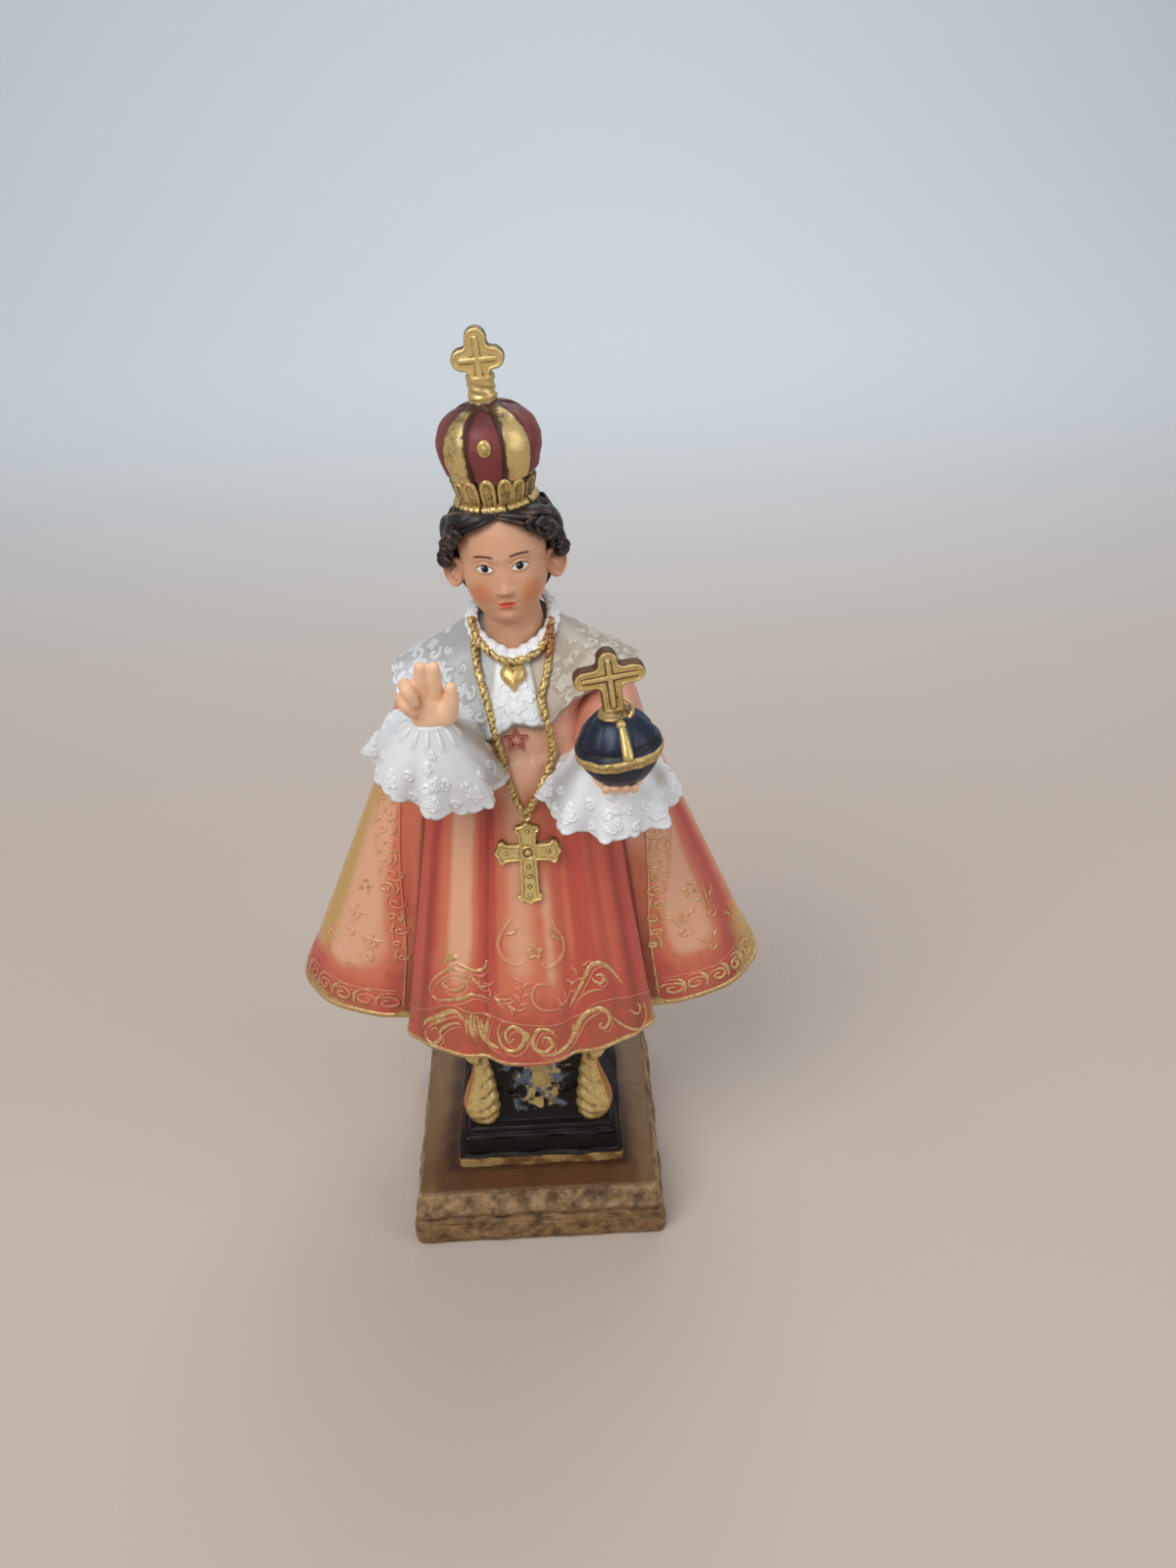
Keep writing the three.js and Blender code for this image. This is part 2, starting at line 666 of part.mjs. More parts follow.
function pendantOutline() {
  const outline = new THREE.Shape();
  const arm = (turn, reach) => {
    const flare = [[1.8, 2.2], [2.4, 1.6], [2, 0.7], [0, 0], [-2, 0.7], [-2.4, 1.6], [-1.8, 2.2]];
    const corners = [[1.8, 1.8], ...flare.map(([x, short]) => [x, reach - short])];
    const cos = Math.cos(turn);
    const sin = Math.sin(turn);
    return corners.map(([x, z]) => [x * cos - z * sin, x * sin + z * cos]);
  };
  const corners = [...arm(0, 6.2), ...arm(Math.PI / 2, 6.4), ...arm(Math.PI, 11), ...arm(-Math.PI / 2, 6.4)];
  corners.forEach(([x, z], i) => (i ? outline.lineTo(x, z) : outline.moveTo(x, z)));
  outline.closePath();
  return outline;
}

function necklaces() {
  const short = [
    [-5.2, -3, 88.4],
    [-4.7, -5.4, 87.4],
    [-3.6, -8.2, 86],
    [-0.4, -10.4, 83.8],
    [2.3, -11.1, 83.3],
    [5, -10.5, 83.7],
    [7.3, -8.9, 84.8],
    [9, -6.8, 86.6],
    [9.6, -4.6, 87.8],
  ];
  const long = [
    [-5.4, -2.6, 88.6],
    [-4.9, -6.8, 85],
    [-4.3, -10.4, 81.1],
    [-2.6, -15, 75.6],
    [-1.5, -18.5, 71.9],
    [0.6, -20, 61.9],
    [2.9, -21, 56.6],
    [6, -20.9, 61.9],
    [8.5, -18, 66.6],
    [8.2, -17.6, 73],
    [7.1, -15.4, 77.5],
    [8.3, -12.3, 81.4],
    [9.2, -7.6, 84.7],
    [9.6, -3.2, 88],
  ];
  const heart = plate(heartOutline(2.6), 2.6, 3).rotate(-39, 0, 0).translate(2.2, -12.4, 80.8);
  const cross = plate(pendantOutline(), 3).rotate(-11, 0, 0).translate(3, -21.8, 48.4);
  const thickness = [CHAIN_RADIUS, CHAIN_RADIUS];
  return [bar(short, thickness, 4, 10), bar(long, thickness, 4, 16), heart, cross];
}

function figure() {
  const whole = union([
    robe(),
    ...sleeves(),
    cuff(RIGHT_CUFF),
    cuff(LEFT_CUFF),
    ...raisedHand(),
    ...orbHand(),
    orb(),
    ...necklaces(),
    head(),
  ]);
  return whole.scale([FIGURE_SCALE, FIGURE_SCALE, FIGURE_SCALE]).translate(0, 0, HEM_Z);
}

function statuette() {
  const pedestal = union([pedestalBody(), ...brackets(), ...panelLeaves()]);
  return pedestal.translate(PEDESTAL_OFFSET, -PEDESTAL_FORWARD, 0).add(figure());
}

const baseResin = new THREE.MeshStandardMaterial({ color: 0x8a6a44, roughness: 0.5, metalness: 0.2 });
const paintedResin = new THREE.MeshStandardMaterial({ color: 0xc45a45, roughness: 0.5, metalness: 0 });

const statue = new THREE.Group();
for (const [name, solid, material] of [
  ["base", base(), baseResin],
  ["statuette", statuette(), paintedResin],
]) {
  const mesh = new THREE.Mesh(geometryOf(solid), material);
  mesh.name = name;
  statue.add(mesh);
}
export default statue;
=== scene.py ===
"""Painted resin statuette of a crowned child on a pedestal: its looks, built around the CAD solids.

Shapes are worked out in millimetres. The figure has its own frame, with z = 0 at the gown's hem,
and degrees run round it from the front, 0, over its left side, 90, to the back, 180.
"""

import math

import bpy
import numpy as np
from mathutils import Matrix


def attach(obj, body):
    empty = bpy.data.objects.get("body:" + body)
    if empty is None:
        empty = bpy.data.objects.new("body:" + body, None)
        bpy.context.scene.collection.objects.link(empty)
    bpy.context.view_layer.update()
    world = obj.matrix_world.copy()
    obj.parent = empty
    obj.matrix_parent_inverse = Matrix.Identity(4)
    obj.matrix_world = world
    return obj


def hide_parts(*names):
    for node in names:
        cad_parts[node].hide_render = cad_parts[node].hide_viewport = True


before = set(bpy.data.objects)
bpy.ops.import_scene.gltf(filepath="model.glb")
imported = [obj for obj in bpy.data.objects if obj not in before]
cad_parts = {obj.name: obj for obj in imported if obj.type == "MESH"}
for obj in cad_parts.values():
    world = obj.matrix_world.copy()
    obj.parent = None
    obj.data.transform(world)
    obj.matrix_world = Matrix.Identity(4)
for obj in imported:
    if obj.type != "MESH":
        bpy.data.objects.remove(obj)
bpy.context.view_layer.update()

# Sizes shared with the CAD part
BASE_WIDTH, BASE_TOP_WIDTH, BASE_HEIGHT = 58.5, 54.8, 16.0
PEDESTAL_WIDTH, PEDESTAL_WAIST, PEDESTAL_CORNICE = 38.6, 26.0, 34.0
HEM_Z, STEP_TOP, SHOULDER_Z, HEM_WALL, HEM_RECESS = 60.0, 25.8, 78.0, 2.2, 3.5
FIGURE, ON_PEDESTAL, ON_FLOOR = (0.0, 0.0, HEM_Z), (0.9, -1.0, 0.0), (0.0, 0.0, 0.0)
TURN = 2 * math.pi


# Curves and grids


def unit(vectors):
    """Each vector divided by its own length."""
    return vectors / np.maximum(np.linalg.norm(vectors, axis=-1, keepdims=True), 1e-9)


def soft_step(value, low, high):
    """3t² - 2t³ with t from 0 at low to 1 at high, held beyond. A step whose low is the greater falls."""
    t = np.clip((value - low) / (high - low), 0, 1)
    return t * t * (3 - 2 * t)


def bump(value, middle, width):
    """The bell exp(-((value - middle) / width)²)."""
    return np.exp(-(((value - middle) / width) ** 2))


def mix(first, second, share):
    """first + (second - first) · share."""
    return first + (second - first) * share


def through(pairs, x):
    """The smooth curve through (x, value) pairs: cubic pieces whose end slopes come from their neighbours."""
    xs, ys = np.array(pairs, float).T
    x = np.clip(x, xs[0], xs[-1])
    before = np.maximum(np.arange(len(xs)) - 1, 0)
    after = np.minimum(np.arange(len(xs)) + 1, len(xs) - 1)
    slope = (ys[after] - ys[before]) / (xs[after] - xs[before])
    i = np.clip(np.searchsorted(xs, x, side="right") - 1, 0, len(xs) - 2)
    width = xs[i + 1] - xs[i]
    t = (x - xs[i]) / width
    ends = ys[i] * (1 + 2 * t) * (1 - t) ** 2 + ys[i + 1] * t * t * (3 - 2 * t)
    return ends + width * (slope[i] * t * (1 - t) ** 2 - slope[i + 1] * t * t * (1 - t))


def lengths(points):
    """How far a line has come along itself at each of its points, from 0."""
    return np.r_[0, np.cumsum(np.linalg.norm(np.diff(points, axis=0), axis=1))]


def spaced(points, count, endpoint=True):
    """The line's points again, evenly spaced along it."""
    run = lengths(points)
    at = np.linspace(0, run[-1], count, endpoint=endpoint)
    return np.stack([np.interp(at, run, column) for column in points.T], 1)


def path(points, count):
    """A smooth run through the points, evenly spaced: each coordinate is `through` over the chord length."""
    points = np.array(points, float)
    chord = lengths(points)
    fine = np.linspace(0, chord[-1], 8 * count)
    return spaced(np.stack([through(np.c_[chord, column], fine) for column in points.T], 1), count)


def spots(x, y, z):
    """The points whose coordinates are x, y and z, each spread over the others' grid."""
    return np.stack(np.broadcast_arrays(x, y, z), -1)


def around(radius, degrees, x, y, z):
    """The point at radius and degrees about the upright axis through (x, y), at height z."""
    angle = np.radians(degrees)
    return spots(x + radius * np.sin(angle), y - radius * np.cos(angle), z)


def rows_between(first, last, count):
    """Evenly spaced values as one column of a grid."""
    return np.linspace(first, last, count)[:, None]


def full_turn(count):
    """Degrees all the way round as one row of a grid, whose last step leads back to the first."""
    return np.linspace(0, 360, count, endpoint=False)[None]


def ring_angles(sides):
    """The angles in radians of a ring's points."""
    return TURN * np.arange(sides) / sides


def normals_of(points):
    """Outward unit normals of a closed grid: the cross product of its steps along rows and up columns."""
    padded = np.concatenate([points[:, -1:], points, points[:, :1]], 1)
    return unit(np.cross(np.gradient(padded, axis=1)[:, 1:-1], np.gradient(points, axis=0)))


class Form:
    """Points in millimetres, blocks of faces and the values painted on the points."""

    def __init__(self, points, faces, paint):
        self.points, self.faces, self.paint = points, faces, paint

    def turned(self, degrees, axis):
        """The same form turned about an axis through the origin."""
        turn = np.array(Matrix.Rotation(math.radians(degrees), 3, axis))
        return Form(self.points @ turn.T, self.faces, self.paint)

    def moved(self, x, y, z):
        """The same form with (x, y, z) added to every point."""
        return Form(self.points + (x, y, z), self.faces, self.paint)


def joined(forms):
    """One form of several: points in turn, faces counted on, and 0 where a value isn't painted."""
    names = sorted({name for form in forms for name in form.paint})
    starts = np.cumsum([0] + [len(form.points) for form in forms])
    faces = [block + start for form, start in zip(forms, starts) for block in form.faces]
    paint = {
        name: np.concatenate([form.paint.get(name, np.zeros(len(form.points))) for form in forms])
        for name in names
    }
    return Form(np.concatenate([form.points for form in forms]), faces, paint)


def skin(points, first=True, last=True, **paint):
    """A grid of points as quads, its columns joined round, fanned shut at its first and last row."""
    rows, columns = points.shape[:2]
    i = np.arange(rows - 1)[:, None] * columns
    j = np.arange(columns)[None]
    k = (j + 1) % columns
    quads = np.stack([i + j, i + k, i + columns + k, i + columns + j], -1).reshape(-1, 4)
    flat = points.reshape(-1, 3)
    values = {n: np.broadcast_to(v, (rows, columns)).reshape(-1) for n, v in paint.items()}
    faces = [quads]
    j, k = j[0], k[0]
    for wanted, row, order in ((first, 0, (k, j)), (last, rows - 1, (j, k))):
        if wanted:
            ring = row * columns
            middle = np.full(columns, len(flat))
            faces.append(np.stack([middle, ring + order[0], ring + order[1]], -1))
            flat = np.concatenate([flat, points[row].mean(0)[None]])
            values = {n: np.append(v, v[ring : ring + columns].mean()) for n, v in values.items()}
    return Form(flat, faces, values)


def tube(points, radii, sides=12, lean=(0.31, 0.17, 0.93), flat=1.0, flutes=0, depth=0.0, **paint):
    """A round bar with domed ends: radii run evenly from first to last, and flutes groove it lengthwise.

    Each ring is p + r·(cos a · e1 + flat · sin a · e2) with e1 square to lean. Domes are quarter ellipses.
    """
    points = np.asarray(points, float)
    along = unit(np.gradient(points, axis=0))
    radii = np.interp(np.linspace(0, 1, len(points)), np.linspace(0, 1, len(radii)), radii)
    dome = np.radians([8, 30, 55])
    start = points[0] - along[0] * radii[0] * np.cos(dome)[:, None]
    end = points[-1] + along[-1] * radii[-1] * np.cos(dome[::-1])[:, None]
    centres = np.concatenate([start, points, end])
    along = np.concatenate([np.repeat(along[:1], 3, 0), along, np.repeat(along[-1:], 3, 0)])
    radii = np.concatenate([radii[0] * np.sin(dome), radii, radii[-1] * np.sin(dome[::-1])])
    first = unit(np.cross(np.asarray(lean, float), along))
    second = np.cross(along, first)
    angle = ring_angles(sides)
    groove = 1 + depth * np.cos(flutes * angle)
    ring = (np.cos(angle) * groove)[None, :, None] * first[:, None]
    ring = ring + (flat * np.sin(angle) * groove)[None, :, None] * second[:, None]
    crest = (np.cos(flutes * angle) * 0.5 + 0.5)[None, :] if flutes else (np.sin(angle) * 0.5 + 0.5)[None, :]
    return skin(centres[:, None] + radii[:, None, None] * ring, crest=crest, **paint)


def ball(centre, radii, rows=16, columns=24, **paint):
    """An ellipsoid: centre + radii · (sin v sin u, -sin v cos u, -cos v)."""
    u, v = ring_angles(columns), math.pi * (np.arange(rows) + 0.5)[:, None] / rows
    ring = spots(np.sin(v) * np.sin(u), -np.sin(v) * np.cos(u), -np.cos(v))
    return skin(np.asarray(centre) + ring * np.asarray(radii, float), **paint)


def ridge(points, normals, width, height, taper, sides=8, **paint):
    """A raised line on a surface: an ellipse, width across and height off it, narrowed by sin(πs)^taper."""
    along = unit(np.gradient(points, axis=0))
    across = unit(np.cross(normals, along))
    share = np.linspace(0.03, 0.97, len(points))
    swell = (np.sin(math.pi * share) ** taper)[:, None, None]
    angle = ring_angles(sides)
    width = np.broadcast_to(width, len(points))[:, None, None]
    ring = width / 2 * np.cos(angle)[None, :, None] * across[:, None]
    ring = ring + height * np.sin(angle)[None, :, None] * normals[:, None]
    crest = np.clip(np.sin(angle), 0, 1)[None, :]
    return skin(points[:, None] + swell * ring, crest=crest, **paint)


def piece(name, forms, finish, node="statuette", origin=FIGURE, crease=None):
    """Makes the piece's mesh in metres from its forms, paints its values, sets it on the root body and hides
    its CAD node.
    """
    form = joined(forms)
    mesh = bpy.data.meshes.new(name)
    faces = [face for block in form.faces for face in block.tolist()]
    mesh.from_pydata(((form.points + origin) / 1000).tolist(), [], faces)
    for key, values in form.paint.items():
        mesh.attributes.new(key, "FLOAT", "POINT").data.foreach_set("value", values.astype(np.float32))
    mesh.shade_smooth()
    if crease:
        mesh.set_sharp_from_angle(angle=math.radians(crease))
    mesh.materials.append(finish)
    thing = bpy.data.objects.new(name, mesh)
    bpy.context.collection.objects.link(thing)
    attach(thing, "root")
    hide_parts(node)
    return thing


# Finishes


def operator(kind, swapped=False):
    """One of a Wire's operators: a Math node of this kind on the two values, in either order."""

    def apply(wire, other):
        first, second = (other, wire) if swapped else (wire, other)
        return wire.finish.node("Math", {"operation": kind}, {0: first, 1: second})

    return apply


class Wire:
    """A socket in a finish's maths: each operator adds a Math node."""

    __add__ = __radd__ = operator("ADD")
    __mul__ = __rmul__ = operator("MULTIPLY")
    __sub__, __rsub__ = operator("SUBTRACT"), operator("SUBTRACT", True)

    def __init__(self, finish, socket):
        self.finish, self.socket = finish, socket

    def between(self, low, high):
        """0 at low, 1 at high, smooth between and held beyond."""
        inputs = {"Value": self, "From Min": low, "From Max": high}
        return self.finish.node("MapRange", {"interpolation_type": "SMOOTHSTEP"}, inputs)


class Finish:
    """A material being put together round one Principled shader."""

    def __init__(self, name, **plain):
        self.material = bpy.data.materials.new(name)
        self.material.use_nodes = True
        self.tree = self.material.node_tree
        self.shader = self.tree.nodes["Principled BSDF"]
        self.set(**plain)

    def set(self, **sockets):
        """Gives the shader's sockets their values or links and returns the material. _ stands for a space."""
        for name, value in sockets.items():
            self.join(self.shader.inputs[name.replace("_", " ")], value)
        return self.material

    def done(self, colour, rough, normal, metal=0.0):
        """The material, finished with its colour, roughness, bumps and metal."""
        return self.set(Base_Color=colour, Metallic=metal, Roughness=rough, Normal=normal)

    def join(self, socket, value):
        """Links a Wire to the socket, or sets the socket's own value."""
        if isinstance(value, Wire):
            self.tree.links.new(value.socket, socket)
        elif isinstance(value, tuple) and len(value) == 3 and len(socket.default_value) == 4:
            socket.default_value = (*value, 1.0)
        else:
            socket.default_value = value

    def node(self, kind, settings=(), inputs=(), output=0):
        """Adds a node of the kind with its settings, then its inputs, and returns the output asked for."""
        made = self.tree.nodes.new("ShaderNode" + kind)
        for name, value in dict(settings).items():
            setattr(made, name, value)
        for name, value in dict(inputs).items():
            self.join(made.inputs[name], value)
        return Wire(self, made.outputs[output])

    def painted(self, name):
        """The value painted on the points under this name."""
        return self.node("Attribute", {"attribute_name": name}, output="Fac")

    def place(self):
        """The point's place on the object, in metres."""
        return self.node("TexCoord", output="Object")

    def cloudy(self, size, detail=3.0, roughness=0.55, distortion=0.0):
        """Noise from 0 to 1 whose patches are about size millimetres across."""
        inputs = {"Vector": self.place(), "Scale": 1000 / size, "Detail": detail}
        return self.node("TexNoise", (), {**inputs, "Roughness": roughness, "Distortion": distortion})

    def drift(self, size, detail, *more):
        """The same noise about 0."""
        return self.cloudy(size, detail, *more) - 0.5

    def grains(self, size):
        """Distance from 0 to about 1 to the nearest of scattered points, size millimetres apart."""
        return self.node("TexVoronoi", (), {"Vector": self.place(), "Scale": 1000 / size})

    def shown(self, name, low, high, *noises):
        """The painted value with the noises added, as a share: 0 at low and 1 at high."""
        value = self.painted(name)
        for noise in noises:
            value = value + noise
        return value.between(low, high)

    def blend(self, first, second, share):
        """The two colours mixed by share."""
        settings = {"data_type": "RGBA", "clamp_factor": True}
        return self.node("Mix", settings, {0: share, 6: first, 7: second}, output=2)

    def coats(self, colour, *coats):
        """The colour with each (colour, share) coat laid over it in turn."""
        for over, share in coats:
            colour = self.blend(colour, over, share)
        return colour

    def bumped(self, height, depth, strength):
        """A normal raised by the height, which is worth depth millimetres at 1."""
        inputs = {"Strength": strength, "Distance": depth / 1000, "Height": height}
        return self.node("Bump", (), inputs)


def rgb(red, green, blue):
    """A colour given as a screen shows it, 0 to 255, turned into linear light."""
    screen = np.array([red, green, blue]) / 255
    linear = np.where(screen <= 0.04045, screen / 12.92, ((screen + 0.055) / 1.055) ** 2.4)
    return tuple(float(v) for v in linear)


GOLD, GOLD_PALE, GOLD_BROWN = rgb(210, 178, 108), rgb(240, 220, 162), rgb(88, 56, 28)
CORAL, PEACH, ROSE_RED, DEEP_RED = rgb(212, 118, 86), rgb(230, 172, 138), rgb(196, 84, 68), rgb(116, 38, 28)


def gown_colour(f, drift):
    """The gown's airbrush: peach, coral and rose by ruddy, dark valleys, amber rims, dusty chest and brown
    patches;
    the deep red of the valleys is partly painted shade, the peach and amber on ridges partly painted
    highlight.
    """
    deep, ruddy = f.shown("deep", 0.1, 0.95, drift * 0.26), f.shown("ruddy", 0.05, 0.95, drift * 0.26)
    return f.coats(
        PEACH,
        (CORAL, (ruddy * 2.0).between(0, 1)),
        (ROSE_RED, (ruddy * 2.0 - 1.0).between(0, 1)),
        (DEEP_RED, deep * 0.9),
        (rgb(200, 156, 88), f.shown("amber", 0.12, 0.95, drift * 0.2)),
        (rgb(240, 190, 158), f.shown("dusty", 0.1, 0.9, drift * 0.3) * 0.9),
        (rgb(146, 88, 48), f.shown("grime", 0.1, 0.8, f.drift(2.6, 5) * 1.8) * 0.6),
    )


def satin_finish():
    """The airbrushed gown, gilded along its hem and corners."""
    f = Finish("gown_satin", Specular_IOR_Level=0.5, Sheen_Weight=0.1, Sheen_Roughness=0.4)
    drift, fine = f.drift(9, 4), f.drift(0.9, 4)
    gilt = f.shown("gilt", 0.4, 0.7, fine * 0.7, drift * 0.5)
    colour = f.coats(
        gown_colour(f, drift),
        (f.blend(rgb(150, 108, 56), rgb(222, 192, 130), f.cloudy(1.8, 3)), gilt),
        (rgb(120, 46, 34), (f.cloudy(0.42, 2) - 0.66).between(0, 0.12) * 0.3),
        (rgb(236, 190, 160), (f.cloudy(0.5, 2) - 0.62).between(0, 0.2) * 0.12),
    )
    rough, normal = 0.38 + fine * 0.16 - gilt * 0.06, f.bumped(f.cloudy(1.4, 5), 0.06, 0.6)
    return f.done(colour, rough, normal, gilt * 0.45)


def scrollwork_finish():
    """Raised scrolls in the gown's colours, with painted shade at their foot and a painted highlight along
    their tops, and gold dry-brushed on their tops.
    """
    f = Finish("gilded_scrollwork", Specular_IOR_Level=0.5)
    crest = f.painted("crest")
    brush = crest * 0.66 + f.painted("gilding") * 0.62 + f.drift(2.0, 4) * 0.9 + f.drift(0.4, 3) * 0.35
    gold = (brush + f.painted("gilt") * 0.25).between(0.66, 1.02)
    colour = f.coats(
        gown_colour(f, f.drift(9, 4)),
        # Painted shade down each scroll's sides and foot, then a painted highlight along its top.
        (rgb(128, 56, 40), (0.45 - crest).between(0, 0.45) * 0.55),
        (rgb(234, 170, 136), (crest - 0.55).between(0, 0.45) * 0.35),
        (f.blend(rgb(190, 142, 82), rgb(236, 208, 150), f.cloudy(0.7, 3).between(0.25, 0.75)), gold),
    )
    rough, normal = 0.4 - gold * 0.08 + f.drift(0.4, 3) * 0.2, f.bumped(f.cloudy(0.5, 4), 0.05, 0.6)
    return f.done(colour, rough, normal, gold * 0.5)


def gold_finish(name="antique_gold", grime=0.35, tint=GOLD):
    """Gold paint, brown in the hollows and in thin patches."""
    f = Finish(name, Specular_IOR_Level=0.5)
    patch = f.drift(2.4, 5, 0.65) * 0.8 + f.drift(0.6, 4) * 0.5
    worn = (grime + patch + f.painted("hollow") * 0.7 - f.painted("crest") * 0.16).between(0.24, 0.8)
    colour = f.coats(
        tint,
        (GOLD_PALE, (f.cloudy(1.1, 3) - 0.35).between(0, 0.5) * 0.7),
        (rgb(176, 104, 44), f.shown("amber", 0.1, 0.75, patch * 0.6) * 0.85),
        (GOLD_BROWN, worn),
    )
    rough = 0.34 + worn * 0.22 + f.drift(0.5, 4) * 0.2
    normal = f.bumped(f.cloudy(0.8, 5) + f.cloudy(0.25, 3) * 0.5, 0.08, 0.7)
    return f.done(colour, rough, normal, 0.55 - worn * 0.4)


def lace_finish():
    """White lace: bright on its thread, brown-grey lines beside it, beige and grey washes in places,
    and brown-grey, beige and grey as painted shade in its folds, on its underside and where it turns away.
    """
    f = Finish("lace_white", Specular_IOR_Level=0.55, Coat_Weight=0.25, Coat_Roughness=0.3)
    drift = f.drift(5, 4)
    wash, grey = f.shown("wash", 0.15, 0.9, drift * 0.5), f.shown("grey", 0.12, 0.9, drift * 0.4)
    thread = f.shown("thread", 0.1, 0.6, f.drift(0.6, 3) * 0.3)
    bright = f.coats(rgb(248, 249, 249), (rgb(200, 190, 172), wash * 0.9), (rgb(222, 223, 222), grey * 0.75))
    colour = f.coats(
        rgb(236, 239, 240),
        (rgb(172, 156, 136), wash),
        (rgb(160, 160, 158), grey * 0.9),
        (bright, thread * (0.85 - wash * 0.25 - grey * 0.3)),
        (rgb(128, 114, 102), f.painted("hollow") * (0.46 + wash * 0.16 + grey * 0.1)),
    )
    normal = f.bumped(f.cloudy(0.45, 4) + f.grains(0.8) * 0.4, 0.05, 0.6)
    return f.done(colour, 0.38 + f.drift(0.8, 4) * 0.24, normal)


def flesh_finish(name, light, shade):
    """Painted flesh: peach with an orange blush, painted lips, eyes and brows, and painted shade in its
    creases.
    """
    f = Finish(name, Specular_IOR_Level=0.42, Subsurface_Weight=0.06, Subsurface_Scale=0.0012)
    eye_white, eye_dark = f.painted("eye_white"), f.painted("eye_dark")
    colour = f.coats(
        light,
        (shade, (f.cloudy(7, 3) - 0.4).between(0, 0.4)),
        (rgb(206, 114, 68), f.shown("blush", 0.12, 1.0, f.drift(4, 4) * 0.3) * 0.7),
        # Hollow is painted shade in the lid creases, nostrils, mouth line and ears.
        (rgb(140, 84, 60), f.painted("hollow") * 0.75),
        (rgb(214, 78, 58), f.painted("lips")),
        (rgb(236, 236, 232), eye_white),
        (rgb(88, 52, 38), f.painted("brow")),
        (rgb(24, 18, 16), eye_dark),
        (rgb(250, 250, 248), f.painted("glint")),
    )
    rough = 0.46 - (eye_white + eye_dark) * 0.22 + f.drift(0.5, 4) * 0.14
    return f.done(colour, rough, f.bumped(f.cloudy(0.8, 5), 0.03, 0.5))


def hair_finish():
    """Near-black hair with a dull rosy brown dragged over the ridges of its locks."""
    f = Finish("painted_hair", Specular_IOR_Level=0.45)
    brushed = f.shown("crest", 0.62, 1.15, f.drift(2.2, 4) * 0.9)
    dragged = (brushed + f.drift(1.4, 3) * 0.8).between(0.76, 1.1) * 0.7
    colour = f.coats(rgb(30, 23, 21), (rgb(86, 60, 50), brushed), (rgb(164, 124, 106), dragged))
    rough, normal = 0.4 + f.drift(0.6, 3) * 0.2, f.bumped(f.cloudy(0.6, 4), 0.05, 0.5)
    return f.done(colour, rough, normal)


def crown_finish():
    """The crown's body: dark red caps between gold arches that are browned along their edges; painted shade
    darkens the caps round their edges and seams, and darkens the band behind the petals and the crown's foot
    to near-black.
    """
    f = Finish("crown_paint", Specular_IOR_Level=0.45)
    arch, patch = f.painted("arch"), f.drift(2.6, 5, 0.65)
    worn = f.shown("hollow", 0.3, 0.85, patch * 1.5, f.drift(0.5, 4) * 0.6)
    gold = f.coats(GOLD, (GOLD_PALE, f.cloudy(1.2, 3) * 0.5), (rgb(76, 46, 28), worn))
    # The red caps darken where hollow is painted: painted shade round their edges and seams and on their
    # lower part.
    red = f.blend(rgb(126, 56, 54), rgb(60, 24, 24), f.shown("hollow", 0.15, 0.9, patch * 0.8))
    colour = f.coats(red, (gold, arch), (rgb(34, 21, 15), f.shown("dark", 0.3, 1.0, patch * 1.6)))
    rough = 0.5 - arch * 0.14 + worn * 0.1 + f.drift(0.6, 3) * 0.15
    return f.done(colour, rough, f.bumped(f.cloudy(0.9, 5), 0.07, 0.6), arch * (0.55 - worn * 0.4))


def orb_finish():
    """Navy globe with black in its seams and a paler top."""
    f = Finish("orb_navy", Specular_IOR_Level=0.45)
    drift = f.drift(3.2, 4)
    colour = f.coats(
        rgb(15, 27, 48),
        (rgb(32, 52, 80), f.shown("rub", 0.25, 0.9, drift * 0.8)),
        (rgb(9, 10, 14), f.shown("hollow", 0.3, 0.9, drift * 0.4)),
        (rgb(112, 96, 74), (f.cloudy(1.1, 3) - 0.64).between(0, 0.1) * f.painted("rub") * 0.6),
    )
    rough, normal = 0.42 + f.drift(0.7, 4) * 0.24, f.bumped(f.cloudy(1.1, 5), 0.08, 0.6)
    return f.done(colour, rough, normal)


def pedestal_finish():
    """Gloss black, gold and grey-blue dabbed over the leaves of each panel, a gold fillet at the foot."""
    f = Finish("pedestal_black", Specular_IOR_Level=0.24)
    blue = f.shown("dab", 0.42, 0.8, f.drift(3.3, 3, 0.5, 0.6) * 2.2, f.drift(1.8, 4) * 0.5)
    gold = f.painted("dab") * 0.6 + f.painted("centre") * 0.5 + f.drift(3.6, 3, 0.5, 0.8) * 2.2
    gold, fillet = gold.between(0.66, 0.92), f.shown("fillet", 0.35, 0.6, f.drift(3.4, 4) * 0.8)
    colour = f.coats(
        rgb(24, 18, 16),
        (rgb(58, 47, 41), f.drift(6, 4).between(0.05, 0.4) * 0.6),
        (rgb(112, 120, 132), blue * 0.85),
        (rgb(196, 170, 112), gold),
        (f.blend(rgb(196, 160, 100), rgb(132, 92, 54), f.cloudy(5, 3).between(0.4, 0.65)), fillet),
    )
    rough, normal = 0.4 + f.drift(0.9, 4) * 0.3 + blue * 0.1, f.bumped(f.cloudy(0.9, 5), 0.08, 0.6)
    return f.done(colour, rough, normal, (gold * 0.45 + fillet * 0.4).between(0, 1) * 0.8)


